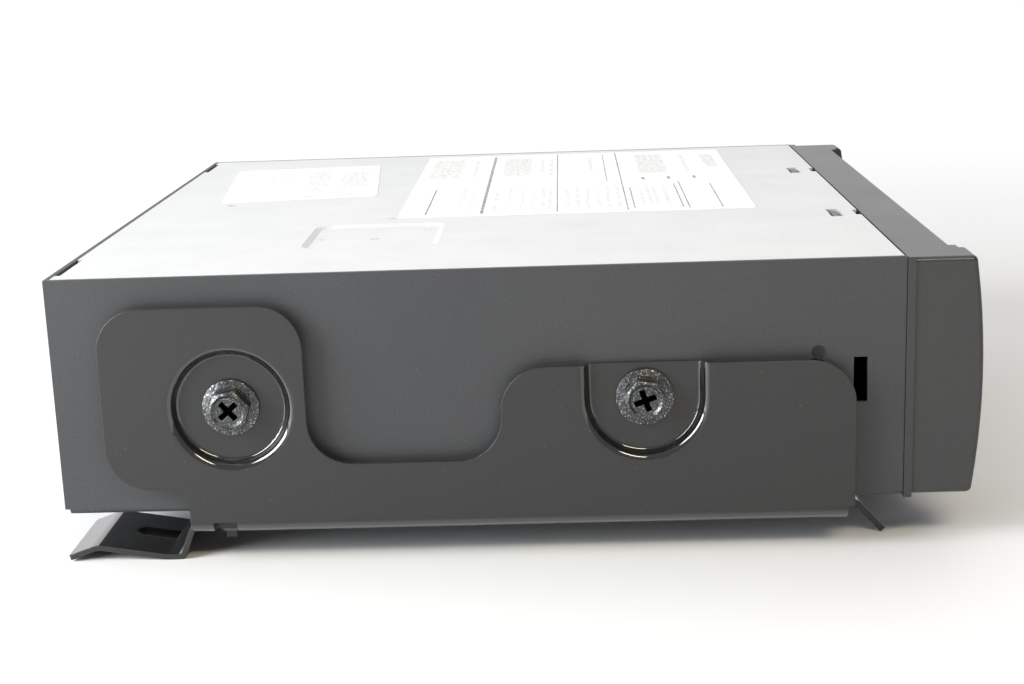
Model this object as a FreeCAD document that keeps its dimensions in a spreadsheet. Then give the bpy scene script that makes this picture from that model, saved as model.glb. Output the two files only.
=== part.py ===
import FreeCAD, Part
import math
import os

import Sketcher

# Car CD player for a standard dashboard slot, resting on the feet of its two side brackets.
# X runs to the right seen from the front, Y runs to the rear and Z up. Places along the depth are
# given as the distance in front of the rear face of the tray, and heights above its underside.

SIZES = {
    # Tray, lid and end plates
    "case_width": 178.0,
    "case_height": 50.0,
    "case_depth": 173.6,
    "case_sheet": 1.0,
    "case_bend": 1.5,
    "foot_height": 10.3,
    "corner_step_depth": 1.0,
    "corner_step_height": 1.3,
    "corner_step_width": 4.0,
    "lid_sheet": 1.0,
    "lid_front_gap": 0.4,
    "lid_rear_gap": 0.1,
    "lid_ledge": 5.0,
    "lid_ledge_half": 80.0,
    "lid_rear_notch_near": 67.0,
    "lid_rear_notch_far": 84.0,
    "lid_rear_notch_depth": 1.1,
    "lid_hem": 3.5,
    "lid_hem_gap": 0.1,
    "lid_hem_inset": 4.0,
    "lid_slot_near": 30.0,
    "lid_slot_far": 39.8,
    "lid_slot_rear": 166.3,
    "lid_slot_depth": 2.8,
    "lid_notch_width": 6.5,
    "lid_notch_depth": 1.1,
    "sunk_pad_rear": 49.3,
    "sunk_pad_front": 76.7,
    "sunk_pad_inner": 33.3,
    "sunk_pad_outer": 60.2,
    "sunk_pad_depth": 0.6,
    "sunk_pad_corner": 2.5,
    "sunk_pad_slope": 65.0,
    "side_slot_rear": 163.25,
    "side_slot_depth": 2.8,
    "side_slot_low": 20.3,
    "side_slot_high": 29.7,
    "side_hole_depth": 156.2,
    "side_hole_height": 30.8,
    "side_hole_radius": 1.5,
    "vent_count": 7,
    "vent_pitch": 8.0,
    "vent_width": 3.0,
    "vent_length": 34.0,
    "vent_rear": 18.0,
    "vent_right": 20.0,
    "end_tab_width": 9.0,
    "end_tab_height": 8.0,
    "end_tab_low": 7.0,
    "end_tab_high": 30.0,
    "case_slot_half": 66.5,
    "case_slot_low": 38.0,
    "case_slot_high": 46.6,
    "link_half": 20.0,
    "link_low": 10.0,
    "link_high": 16.0,
    "link_gap": 0.5,
    "link_split": 166.0,
    "link_socket_rear": 158.0,
    # Small screws
    "screw_radius": 1.5,
    "screw_head_radius": 2.8,
    "screw_head_height": 1.6,
    "screw_length": 5.0,
    "screw_slot_width": 0.8,
    "screw_slot_length": 3.4,
    "screw_slot_depth": 0.9,
    # Side brackets
    "bracket_sheet": 1.2,
    "bracket_standoff": 2.0,
    "bracket_corner": 9.0,
    "rear_lobe_rear": 10.4,
    "rear_lobe_low": 6.2,
    "rear_lobe_high": 44.2,
    "rear_lobe_front": 52.2,
    "notch_height": 10.75,
    "notch_front": 91.8,
    "front_lobe_high": 30.05,
    "bracket_front": 163.4,
    "flange_rear": 26.85,
    "flange_front": 162.0,
    "flange_corner": 4.0,
    "bend_radius": 3.0,
    "flange_drop": 4.0,
    "flange_inner": 67.0,
    "rear_screw_depth": 36.7,
    "front_screw_depth": 121.0,
    "bracket_screw_height": 23.0,
    "recess_floor_radius": 11.2,
    "recess_slope": 1.06,
    "recess_rim": 1.5,
    "recess_rim_round": 1.7,
    "recess_floor_round": 1.0,
    "nick_rear": 31.5,
    "nick_front": 36.5,
    "nick_reach": 4.2,
    "nick_height": 2.6,
    "tongue_width": 2.3,
    "tongue_shoulder": 5.2,
    "tongue_lean": 1.6,
    "tongue_drop": 6.5,
    "heel_front": 23.9,
    "heel_rear": 20.6,
    "foot_crest_depth": 5.9,
    "foot_crest_height": 3.0,
    "foot_crest_bend": 4.5,
    "foot_tip_depth": 0.0,
    "foot_tip_height": 0.9,
    "foot_bend": 1.6,
    "foot_root": 30.0,
    "foot_bend_depth": 26.45,
    "foot_inner": 67.0,
    "foot_outer": 89.0,
    "foot_bead_rear": 11.5,
    "foot_bead_centre": 78.0,
    "foot_bead_radius": 6.0,
    "foot_bead_depth": 0.7,
    "foot_bead_end": 1.5,
    "tab_inner": 77.0,
    "tab_outer": 82.0,
    "tab_bend_depth": 165.0,
    "tab_angle": 47.5,
    "tab_root": 155.0,
    # Bracket screws
    "bolt_radius": 2.5,
    "bolt_flange_radius": 5.85,
    "bolt_flange_height": 1.2,
    "bolt_flange_edge": 0.7,
    "bolt_hex_flats": 7.8,
    "bolt_hex_height": 2.9,
    "bolt_hex_bevel": 0.5,
    "bolt_dish_radius": 3.4,
    "bolt_dish_depth": 0.5,
    "bolt_rear_turn": 42.0,
    "bolt_front_turn": 20.0,
    "bolt_cross_length": 4.6,
    "bolt_cross_width": 1.2,
    "bolt_cross_depth": 2.2,
    "bolt_length": 5.4,
    "collar_radius": 4.2,
    "collar_length": 2.6,
    # Fascia
    "fascia_rear": 173.7,
    "fascia_rib": 1.6,
    "fascia_rib_proud": 0.3,
    "fascia_rib_top_gap": 0.1,
    "fascia_inset": 0.3,
    "cheek_edge_front": 187.55,
    "cheek_bulge": 1.7,
    "cheek_round": 165.0,
    "fascia_corner": 1.2,
    "fascia_edge": 1.0,
    "face_front": 184.2,
    "face_half": 76.7,
    "step_front": 185.7,
    "step_half": 79.5,
    "fascia_wall": 2.2,
    "fascia_side_wall": 2.2,
    "cheek_hollow_front": 183.4,
    "slot_half": 63.0,
    "slot_low": 39.5,
    "slot_high": 44.3,
    "slot_bevel": 0.7,
    "hook_near": 31.0,
    "hook_far": 38.8,
    "hook_rear": 165.4,
    "hook_low": 47.2,
    "hook_gap": 0.1,
    "hook_rise": 0.8,
    "hook_nose": 1.5,
    "window_left": -43.0,
    "window_right": 30.5,
    "window_low": 19.5,
    "window_high": 34.5,
    "window_gap": 0.1,
    "window_rim": 1.2,
    "window_recess": 0.2,
    "window_rim_height": 0.8,
    # Buttons and knobs
    "button_gap": 0.2,
    "button_proud": 1.6,
    "button_corner": 1.0,
    "button_edge": 0.4,
    "button_rim": 0.8,
    "button_rim_height": 1.0,
    "button_seat_gap": 0.1,
    "button_travel": 0.8,
    "stem_radius": 1.5,
    "preset_count": 6,
    "preset_pitch": 11.2,
    "preset_width": 10.2,
    "preset_height": 7.2,
    "row_height": 10.0,
    "corner_button_x": 72.0,
    "corner_button_z": 42.2,
    "corner_button_width": 6.6,
    "corner_button_height": 8.4,
    "rocker_x": 38.0,
    "rocker_width": 8.2,
    "rocker_gap": 0.4,
    "rocker_hole_corner": 0.4,
    "rocker_pin_radius": 0.8,
    "rocker_pin_length": 1.4,
    "rocker_pin_front": 179.4,
    "rocker_ear_thick": 1.4,
    "rocker_ear_half": 1.7,
    "rocker_back_gap": 0.5,
    "rocker_foot": 4.0,
    "rocker_dip": 1.2,
    "rocker_dip_round": 20.0,
    "running_gap": 0.05,
    "knob_x": 61.0,
    "knob_z": 20.0,
    "knob_radius": 13.0,
    "knob_front": 192.2,
    "knob_gap": 0.5,
    "knob_wall": 1.4,
    "knob_front_wall": 1.8,
    "knob_edge": 1.0,
    "knob_flutes": 24,
    "knob_flute_radius": 0.9,
    "knob_flute_depth": 0.35,
    "knob_flute_stop": 1.4,
    "knob_mark_width": 0.9,
    "knob_mark_depth": 0.3,
    "shaft_radius": 2.9,
    "shaft_length": 9.5,
    "bush_radius": 3.9,
    "bush_front": 187.6,
    "bush_clearance": 0.4,
    "encoder_side": 11.7,
    "encoder_front": 180.2,
    # Front board and display
    "front_board_rear": 174.6,
    "front_board_thick": 1.4,
    "front_board_half": 84.0,
    "front_board_low": 3.2,
    "front_board_high": 36.6,
    "front_board_ear": 67.2,
    "front_board_top": 46.6,
    "peg_x": 82.5,
    "peg_low": 6.0,
    "peg_high": 32.0,
    "peg_radius": 1.0,
    "switch_side": 6.0,
    "switch_height": 1.7,
    "switch_plunger": 0.7,
    "switch_button_radius": 1.4,
    "press_gap": 0.1,
    "display_gap": 0.4,
    "display_margin": 1.2,
    "display_glass_inset": 1.2,
    "display_glass_height": 0.5,
    # Slot shutter
    "shutter_pin_front": 180.7,
    "shutter_pin_z": 46.0,
    "shutter_pin_radius": 0.75,
    "shutter_hub": 0.3,
    "shutter_thick": 0.8,
    "shutter_half": 64.0,
    "shutter_low": 38.6,
    "shutter_ear_gap": 0.4,
    "shutter_ear_thick": 1.8,
    "shutter_ear_half": 1.4,
    # Main board and what stands on it
    "board_low": 6.0,
    "board_thick": 1.6,
    "board_half": 84.0,
    "board_rear": 3.0,
    "board_front": 168.0,
    "post_radius": 3.0,
    "post_x": 78.0,
    "post_rear": 36.0,
    "post_front": 160.0,
    "tuner_left": -31.0,
    "tuner_right": 3.0,
    "tuner_rear": 15.0,
    "tuner_front": 33.0,
    "tuner_height": 17.0,
    "tuner_sheet": 0.5,
    "tuner_cover": 5.0,
    "tuner_hole": 1.4,
    "capacitor_radius": 5.0,
    "capacitor_height": 19.0,
    "capacitor_pitch": 12.5,
    "capacitor_count": 5,
    "capacitor_groove_low": 1.6,
    "capacitor_groove": 0.5,
    "capacitor_x": 14.0,
    "capacitor_depth": 22.0,
    "chip_height": 2.0,
    "chip_side": 14.0,
    "chip_spot": 0.6,
    "chip_spot_depth": 0.3,
    "chip_pitch": 38.0,
    "chip_count": 4,
    "chip_x": -57.0,
    "chip_depth": 90.0,
    "amp_left": 32.0,
    "amp_right": 62.0,
    "amp_low": 12.0,
    "amp_high": 30.0,
    "amp_thick": 4.5,
    "amp_tab_gap": 0.3,
    "amp_pin_count": 9,
    "amp_pin_side": 0.8,
    # Rear
    "sink_left": 14.0,
    "sink_right": 82.0,
    "sink_low": 5.0,
    "sink_high": 42.0,
    "sink_base": 3.0,
    "sink_depth": 11.0,
    "fin_count": 12,
    "fin_thick": 1.6,
    "connector_left": -73.0,
    "connector_right": -29.0,
    "connector_low": 9.0,
    "connector_high": 29.0,
    "connector_wall": 1.4,
    "connector_reach": 5.0,
    "connector_inside": 7.0,
    "connector_floor": 5.0,
    "connector_corner": 1.0,
    "connector_foot": 14.0,
    "connector_key_width": 8.0,
    "connector_key_height": 2.4,
    "pin_side": 0.9,
    "pin_setback": 3.6,
    "pin_columns": 8,
    "pin_pitch": 5.0,
    "pin_row_gap": 7.0,
    "pin_inside": 3.0,
    "aerial_x": -22.0,
    "aerial_z": 36.0,
    "aerial_radius": 6.6,
    "aerial_bore": 4.75,
    "aerial_reach": 8.0,
    "aerial_bore_depth": 12.0,
    "aerial_tip_bore": 1.7,
    "aerial_tip_depth": 8.0,
    "aerial_collar_radius": 8.6,
    "aerial_collar": 2.0,
    "aerial_inside": 9.0,
    "stud_radius": 2.5,
    "stud_x": 0.0,
    "stud_z": 22.0,
    "stud_length": 14.0,
    "stud_flange_radius": 6.0,
    "stud_flange": 1.5,
    "stud_bevel": 0.6,
    "fuse_left": -26.5,
    "fuse_right": -8.5,
    "fuse_low": 10.0,
    "fuse_high": 16.0,
    "fuse_reach": 5.0,
    "fuse_body": 12.0,
    "fuse_grip": 1.2,
    # Disc mechanism frame
    "mech_half": 72.0,
    "mech_sheet": 1.0,
    "mech_low": 17.0,
    "mech_high": 46.0,
    "mech_rear": 35.0,
    "mech_front": 166.0,
    "mech_front_high": 36.0,
    "mech_ring": 16.0,
    "mech_ear_high": 44.0,
    "mech_ear_reach": 86.0,
    "mech_ear_width": 8.0,
    "mech_ear_rear": 60.0,
    "mech_ear_front": 142.0,
    "shelf_inner": 78.0,
    "mech_screw_x": 82.0,
    "mech_board_left": -60.0,
    "mech_board_right": -8.0,
    "mech_board_low": 19.0,
    "mech_board_high": 40.0,
    "mech_board_thick": 1.2,
    "socket_height": 3.0,
    "socket_depth": 3.4,
    "socket_wall": 2.0,
    "ribbon_width": 20.0,
    "ribbon_thick": 0.3,
    "ribbon_x": -46.0,
    "ribbon_bend": 3.5,
    "ribbon_depth": 29.0,
    "guide_rear": 138.0,
    "guide_front": 154.0,
    "guide_low": 44.3,
    "guide_high": 46.0,
    "guide_rib": 1.2,
    "guide_half": 64.0,
    "guide_tab": 4.0,
    # Playing deck
    "deck_low": 30.6,
    "deck_sheet": 1.0,
    "deck_half": 69.0,
    "deck_rear": 56.0,
    "deck_front": 134.0,
    "damper_radius": 4.5,
    "damper_neck": 2.6,
    "damper_cap": 1.4,
    "damper_groove": 0.6,
    "damper_x": 62.0,
    "damper_rear": 62.0,
    "damper_front": 128.0,
    "disc_centre": 102.0,
    "motor_radius": 12.0,
    "motor_height": 10.0,
    "motor_shaft": 1.0,
    "motor_cup_edge": 0.8,
    "deck_hub_hole": 6.0,
    "platter_radius": 15.0,
    "platter_top": 38.0,
    "platter_thick": 2.2,
    "platter_hub_radius": 4.6,
    "platter_hub_gap": 0.4,
    "cone_radius": 7.4,
    "cone_tip_radius": 4.4,
    "cone_height": 1.6,
    # Pickup drive
    "rod_radius": 1.5,
    "rod_depth": 84.0,
    "rod_height": 26.0,
    "rod_left": -16.0,
    "rod_tab": 1.0,
    "rod_tab_half": 4.0,
    "rod_tab_drop": 7.0,
    "screw_depth": 120.0,
    "lead_left": -12.0,
    "sled_motor_radius": 6.0,
    "sled_motor_length": 15.0,
    "sled_motor_tab_half": 7.0,
    "sled_motor_tab_drop": 11.0,
    "lens_start": 24.5,
    "sled_travel": 32.0,
    "sled_half": 10.0,
    "sled_rear": 80.5,
    "sled_front": 116.8,
    "sled_low": 20.8,
    "sled_high": 29.8,
    "nut_half": 3.0,
    "nut_reach": 6.0,
    "holder_half": 5.5,
    "holder_rear": 94.5,
    "holder_front": 109.5,
    "holder_high": 34.8,
    "lens_radius": 2.2,
    "lens_high": 36.3,
    "deck_window_gap": 0.8,
    # Clamp arm
    "arm_pivot_depth": 38.7,
    "arm_pivot_z": 44.4,
    "arm_low": 45.3,
    "arm_sheet": 1.0,
    "arm_half": 12.0,
    "arm_front": 114.0,
    "arm_rear": 36.9,
    "arm_ear_half": 19.0,
    "arm_ear_front": 41.2,
    "arm_ear_low": 42.8,
    "arm_pin_radius": 0.9,
    "arm_lug_gap": 0.3,
    "arm_lug": 1.2,
    "arm_lug_margin": 3.6,
    "arm_waist": 50.0,
    "arm_nose": 9.0,
    "clamper_radius": 13.0,
    "clamper_thick": 1.0,
    "clamper_recess": 5.6,
    "clamper_recess_depth": 0.6,
    "clamper_neck": 5.0,
    "clamper_hole_gap": 0.6,
    "clamper_cap": 7.5,
    "clamper_cap_thick": 0.7,
    "clamper_play": 0.3,
    # Loading unit
    "pivot_depth": 156.0,
    "pivot_height": 25.8,
    "gear_module": 0.5,
    "gear_addendum": 0.7,
    "gear_dedendum": 1.1,
    "gear_backlash": 0.06,
    "roller_teeth": 28,
    "pinion_teeth": 10,
    "roller_bearing": 44.4,
    "gear_width": 2.6,
    "gear_gap": 0.3,
    "arm_left_outer": 66.4,
    "arm_right_outer": 70.2,
    "carriage_sheet": 1.0,
    "carriage_margin": 2.4,
    "carriage_bar_half": 3.6,
    "carriage_bar_low": 21.0,
    "pivot_radius": 1.5,
    "pivot_over": 0.8,
    "roller_radius": 4.0,
    "roller_waist": 3.4,
    "roller_shaft": 1.5,
    "roller_inner_gap": 2.0,
    "roller_end_gap": 3.0,
    "load_motor_radius": 6.0,
    "load_motor_length": 18.0,
    "load_motor_shaft": 0.75,
}


class Size:
    """A length that knows its value and the sheet formula that it comes from."""

    def __init__(self, value, formula):
        self.value = float(value)
        self.formula = formula

    def _with(self, other, sign, value, swap=False):
        first, second = (text(other), self.formula) if swap else (self.formula, text(other))
        return Size(value, f"({first} {sign} {second})")

    def __add__(self, other):
        return self._with(other, "+", self.value + number(other))

    def __radd__(self, other):
        return self._with(other, "+", number(other) + self.value, swap=True)

    def __sub__(self, other):
        return self._with(other, "-", self.value - number(other))

    def __rsub__(self, other):
        return self._with(other, "-", number(other) - self.value, swap=True)

    def __mul__(self, other):
        return self._with(other, "*", self.value * number(other))

    def __rmul__(self, other):
        return self._with(other, "*", number(other) * self.value, swap=True)

    def __truediv__(self, other):
        return self._with(other, "/", self.value / number(other))

    def __neg__(self):
        return Size(-self.value, f"(0 - {self.formula})")


def number(value):
    return value.value if isinstance(value, Size) else float(value)


def text(value):
    return value.formula if isinstance(value, Size) else repr(float(value))


def root(value):
    return Size(math.sqrt(number(value)), f"sqrt({text(value)})")


def cosine(degrees):
    return Size(math.cos(math.radians(number(degrees))), f"cos({text(degrees)})")


def sine(degrees):
    return Size(math.sin(math.radians(number(degrees))), f"sin({text(degrees)})")


doc = FreeCAD.newDocument("car_cd_player")
sheet = doc.addObject("Spreadsheet::Sheet", "Sizes")


class SizeTable:
    """Each size by its name, as written in the sheet."""


s = SizeTable()
for row, (name, value) in enumerate(SIZES.items(), start=1):
    sheet.set(f"A{row}", name)
    sheet.set(f"B{row}", str(value))
    sheet.setAlias(f"B{row}", name)
    setattr(s, name, Size(value, f"Sizes.{name}"))
doc.recompute()

# The origin is under the middle of the whole player, so the rear face of the tray lies this far back.
rear_y = (s.knob_front - s.stud_length) / 2
half = s.case_width / 2
inner = half - s.case_sheet
lid_low = s.case_height - s.lid_sheet

nodes = []


def bind(thing, field, size):
    thing.setExpression(field, text(size))


def place(thing, x, depth, height, turn=None):
    """Puts a thing at a place given across, in front of the rear face and above the underside."""
    if turn is not None:
        thing.Placement = FreeCAD.Placement(FreeCAD.Vector(), turn)
    bind(thing, "Placement.Base.x", x)
    bind(thing, "Placement.Base.y", rear_y - depth)
    bind(thing, "Placement.Base.z", s.foot_height + height)


def keep(thing, name):
    thing.Label = name
    nodes.append(thing)
    return thing


def box(x, depth, height):
    """A block between two places in each direction."""
    thing = doc.addObject("Part::Box", "block")
    bind(thing, "Length", x[1] - x[0])
    bind(thing, "Width", depth[1] - depth[0])
    bind(thing, "Height", height[1] - height[0])
    place(thing, x[0], depth[1], height[0])
    return thing


def fuse(*things):
    thing = doc.addObject("Part::MultiFuse", "joined")
    thing.Shapes = list(things)
    thing.Refine = True
    return thing


def cut(base, *tools):
    thing = doc.addObject("Part::Cut", "cut")
    thing.Base = base
    thing.Tool = tools[0] if len(tools) == 1 else fuse(*tools)
    thing.Refine = True
    return thing


def group(*things):
    """Separate solids that share one node."""
    thing = doc.addObject("Part::Compound", "group")
    thing.Links = list(things)
    return thing


def new_body(name, x=0, depth=0, height=0, turn=None):
    body = doc.addObject("PartDesign::Body", name)
    place(body, x, depth, height, turn)
    return body


class Drawing:
    """A sketch on one of its body's origin planes. Corners are across and depth on XY, across and
    height on XZ, depth and height on YZ, each tied to the sheet. A third number rounds a corner."""

    SIGNS = {"XY": (1, -1), "XZ": (1, 1), "YZ": (-1, 1)}

    def __init__(self, body, plane, offset=0):
        self.body = body
        self.signs = self.SIGNS[plane]
        self.sketch = body.newObject("Sketcher::SketchObject", f"{body.Name}_{plane.lower()}_sketch")
        planes = {feature.Role: feature for feature in body.Origin.OriginFeatures}
        self.sketch.AttachmentSupport = (planes[f"{plane}_Plane"], [""])
        self.sketch.MapMode = "FlatFace"
        bind(self.sketch, "AttachmentOffset.Base.z", offset)

    def _rule(self, kind, *what):
        return self.sketch.addConstraint(Sketcher.Constraint(kind, *what))

    def _sized(self, kind, *what):
        index = self._rule(kind, *what[:-1], number(what[-1]))
        self.sketch.setExpression(f"Constraints[{index}]", text(what[-1]))

    def _fix(self, geometry, point, spot):
        self._sized("DistanceX", -1, 1, geometry, point, spot[0])
        self._sized("DistanceY", -1, 1, geometry, point, spot[1])

    def _signed(self, corner):
        flipped = [value if sign > 0 else -value for value, sign in zip(corner, self.signs)]
        return flipped, (corner[2] if len(corner) > 2 else None)

    def _outline(self, corners, closed):
        spots = [self._signed(corner) for corner in corners]
        at = [FreeCAD.Vector(number(spot[0]), number(spot[1]), 0) for spot, _ in spots]
        count = len(spots)
        ends = {}
        for i, (spot, radius) in enumerate(spots):
            if radius is None or (not closed and i in (0, count - 1)):
                ends[i] = (at[i], at[i])
                continue
            back = (at[i - 1] - at[i]).normalize()
            ahead = (at[(i + 1) % count] - at[i]).normalize()
            reach = number(radius) / math.tan(back.getAngle(ahead) / 2)
            ends[i] = (at[i] + back * reach, at[i] + ahead * reach)
        runs = count if closed else count - 1
        lines = [
            self.sketch.addGeometry(Part.LineSegment(ends[i][1], ends[(i + 1) % count][0]), False)
            for i in range(runs)
        ]
        for i, (spot, radius) in enumerate(spots):
            if not closed and i == 0:
                self._fix(lines[0], 1, spot)
                continue
            if not closed and i == count - 1:
                self._fix(lines[-1], 2, spot)
                continue
            before, after = lines[i - 1], lines[i % runs]
            if radius is None:
                self._rule("Coincident", before, 2, after, 1)
                self._fix(after, 1, spot)
                continue
            self._round(before, after, spot, ends[i], radius)
        return lines

    def _round(self, before, after, spot, ends, radius):
        corner = FreeCAD.Vector(number(spot[0]), number(spot[1]), 0)
        middle = (ends[0] + ends[1]) * 0.5
        to_middle = (middle - corner).normalize()
        reach = (ends[0] - corner).Length
        centre = corner + to_middle * math.hypot(reach, number(radius))
        left_turn = (corner - ends[0]).cross(ends[1] - corner).z > 0
        first, last = (ends[0], ends[1]) if left_turn else (ends[1], ends[0])
        angles = [math.atan2(end.y - centre.y, end.x - centre.x) for end in (first, last)]
        circle = Part.Circle(centre, FreeCAD.Vector(0, 0, 1), number(radius))
        arc = self.sketch.addGeometry(Part.ArcOfCircle(circle, *angles), False)
        point = self.sketch.addGeometry(Part.Point(corner), True)
        start, end = (1, 2) if left_turn else (2, 1)
        self._rule("Tangent", before, 2, arc, start)
        self._rule("Tangent", arc, end, after, 1)
        self._rule("PointOnObject", point, 1, before)
        self._rule("PointOnObject", point, 1, after)
        self._sized("Radius", arc, radius)
        self._fix(point, 1, spot)

    def loop(self, *corners):
        self._outline(corners, True)
        return self

    def path(self, *corners):
        self._outline(corners, False)
        return self

    def rectangle(self, across, along, rounding=None):
        corners = [
            (across[0], along[0]),
            (across[1], along[0]),
            (across[1], along[1]),
            (across[0], along[1]),
        ]
        if rounding is not None:
            corners = [(*corner, rounding) for corner in corners]
        return self.loop(*corners)

    def circle(self, across, along, radius):
        spot, _ = self._signed((across, along))
        centre = FreeCAD.Vector(number(spot[0]), number(spot[1]), 0)
        ring = self.sketch.addGeometry(
            Part.Circle(centre, FreeCAD.Vector(0, 0, 1), number(radius)), False
        )
        self._sized("Radius", ring, radius)
        self._fix(ring, 3, spot)
        return self

    def axis(self, first, second):
        """A construction line to turn a profile about."""
        spots = [self._signed(corner)[0] for corner in (first, second)]
        at = [FreeCAD.Vector(number(spot[0]), number(spot[1]), 0) for spot in spots]
        line = self.sketch.addGeometry(Part.LineSegment(*at), True)
        self._fix(line, 1, spots[0])
        self._fix(line, 2, spots[1])
        return self


def pad(drawing, length):
    """Adds the drawing's shape from its plane along the plane's normal."""
    feature = drawing.body.newObject("PartDesign::Pad", f"{drawing.body.Name}_pad")
    feature.Profile = drawing.sketch
    bind(feature, "Length", length)
    drawing.sketch.Visibility = False
    return feature


def pocket(drawing, length):
    """Cuts the drawing's shape from its plane along the plane's normal."""
    feature = drawing.body.newObject("PartDesign::Pocket", f"{drawing.body.Name}_pocket")
    feature.Profile = drawing.sketch
    feature.Reversed = True
    bind(feature, "Length", length)
    drawing.sketch.Visibility = False
    return feature


def revolve(drawing, axis, degrees=360.0, backward=False):
    feature = drawing.body.newObject("PartDesign::Revolution", f"{drawing.body.Name}_turning")
    feature.Profile = drawing.sketch
    feature.ReferenceAxis = (drawing.sketch, [axis])
    feature.Angle = degrees
    feature.Reversed = backward
    drawing.sketch.Visibility = False
    return feature


def groove(drawing, axis):
    """Cuts the drawing's shape, turned all round an axis."""
    feature = drawing.body.newObject("PartDesign::Groove", f"{drawing.body.Name}_groove")
    feature.Profile = drawing.sketch
    feature.ReferenceAxis = (drawing.sketch, [axis])
    feature.Angle = 360.0
    drawing.sketch.Visibility = False
    return feature


def sweep(profile, path):
    """Carries a flat profile along a path of lines and arcs."""
    feature = profile.body.newObject("PartDesign::AdditivePipe", f"{profile.body.Name}_sweep")
    feature.Profile = profile.sketch
    doc.recompute()
    edges = [f"Edge{i + 1}" for i in range(len(path.sketch.Shape.Edges))]
    feature.Spine = (path.sketch, edges)
    return feature


def around(feature, count):
    """Repeats a feature round its sketch's normal."""
    body = feature.getParentGeoFeatureGroup()
    pattern = body.newObject("PartDesign::PolarPattern", f"{body.Name}_ring")
    pattern.Originals = [feature]
    pattern.Axis = (feature.Profile[0], ["N_Axis"])
    pattern.Angle = 360.0
    bind(pattern, "Occurrences", count)
    body.Tip = pattern
    return pattern


def edges_where(shape, test):
    return [f"Edge{i}" for i, edge in enumerate(shape.Edges, start=1) if test(edge)]


def fillet(feature, radius, test):
    """Rounds the edges of a feature that pass a test of their place."""
    doc.recompute()
    names = edges_where(feature.Shape, test)
    body = feature.getParentGeoFeatureGroup()
    rounding = body.newObject("PartDesign::Fillet", f"{body.Name}_fillet")
    rounding.Base = (feature, names)
    bind(rounding, "Radius", radius)
    return rounding


def near(value, place_, slack=0.01):
    return abs(value - number(place_)) < slack


def lies(edge, x=None, depth=None, height=None, slack=0.02):
    """Whether an edge stays between the given places, in its body's own directions."""
    bounds = edge.BoundBox
    spans = ((bounds.XMin, bounds.XMax), (-bounds.YMax, -bounds.YMin), (bounds.ZMin, bounds.ZMax))
    for span, limits in zip(spans, (x, depth, height)):
        if limits is not None:
            if span[0] < number(limits[0]) - slack or span[1] > number(limits[1]) + slack:
                return False
    return True


def both_sides(inner_x, outer_x):
    """The same span of width on the right and on the left."""
    return ((inner_x, outer_x), (-outer_x, -inner_x))


HEAD_TURNS = {
    "up": FreeCAD.Rotation(),
    "right": FreeCAD.Rotation(FreeCAD.Vector(0, 1, 0), 90),
    "left": FreeCAD.Rotation(FreeCAD.Vector(0, 1, 0), -90),
    "front": FreeCAD.Rotation(FreeCAD.Vector(1, 0, 0), 90),
}

# Tray: one folded sheet with both side walls, inward shelves and posts for the main board.
frame = new_body("chassis_frame")
tray = Drawing(frame, "XZ").loop(
    (-half, 0, s.case_bend),
    (half, 0, s.case_bend),
    (half, s.case_height),
    (inner, s.case_height),
    (inner, s.case_sheet, s.case_bend - s.case_sheet),
    (-inner, s.case_sheet, s.case_bend - s.case_sheet),
    (-inner, s.case_height),
    (-half, s.case_height),
)
pad(tray, s.case_depth)
bolt_depths = (s.rear_screw_depth, s.front_screw_depth)
for start in (-inner, inner - s.collar_length):
    collars = Drawing(frame, "YZ", start)
    for depth in bolt_depths:
        collars.circle(depth, s.bracket_screw_height, s.collar_radius)
    pad(collars, s.collar_length)
shelves = Drawing(frame, "XY", s.mech_ear_high - s.case_sheet)
ear_depths = (s.mech_ear_rear, s.mech_ear_front)
for across in both_sides(s.shelf_inner, inner):
    for depth in ear_depths:
        shelves.rectangle(across, (depth - s.mech_ear_width / 2, depth + s.mech_ear_width / 2))
pad(shelves, s.case_sheet)
post_places = [(x, depth) for x in (-s.post_x, s.post_x) for depth in (s.post_rear, s.post_front)]
posts = Drawing(frame, "XY", s.case_sheet)
for x, depth in post_places:
    posts.circle(x, depth, s.post_radius)
pad(posts, s.board_low - s.case_sheet)
walls = Drawing(frame, "YZ", -half).rectangle(
    (s.side_slot_rear, s.side_slot_rear + s.side_slot_depth), (s.side_slot_low, s.side_slot_high)
)
walls.circle(s.side_hole_depth, s.side_hole_height, s.side_hole_radius)
for depth in bolt_depths:
    walls.circle(depth, s.bracket_screw_height, s.bolt_radius)
pocket(walls, s.case_width)
floor_cuts = Drawing(frame, "XY")
for i in range(int(s.vent_count.value)):
    left = s.vent_right + s.vent_pitch * i
    floor_cuts.rectangle((left, left + s.vent_width), (s.vent_rear, s.vent_rear + s.vent_length))
pocket(floor_cuts, s.case_sheet)
corner_steps = Drawing(frame, "XY")
for across in both_sides(half - s.corner_step_width, half):
    corner_steps.rectangle(across, (0, s.corner_step_depth))
pocket(corner_steps, s.corner_step_height)
board_top = s.board_low + s.board_thick
post_holes = Drawing(frame, "XY", board_top - s.screw_length)
for x, depth in post_places:
    post_holes.circle(x, depth, s.screw_radius)
pocket(post_holes, s.screw_length - s.board_thick)
ear_places = [(x, depth) for x in (-s.mech_screw_x, s.mech_screw_x) for depth in ear_depths]
shelf_holes = Drawing(frame, "XY", s.mech_ear_high - s.case_sheet)
for x, depth in ear_places:
    shelf_holes.circle(x, depth, s.screw_radius)
pocket(shelf_holes, s.case_sheet)
keep(frame, "chassis_frame")

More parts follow.
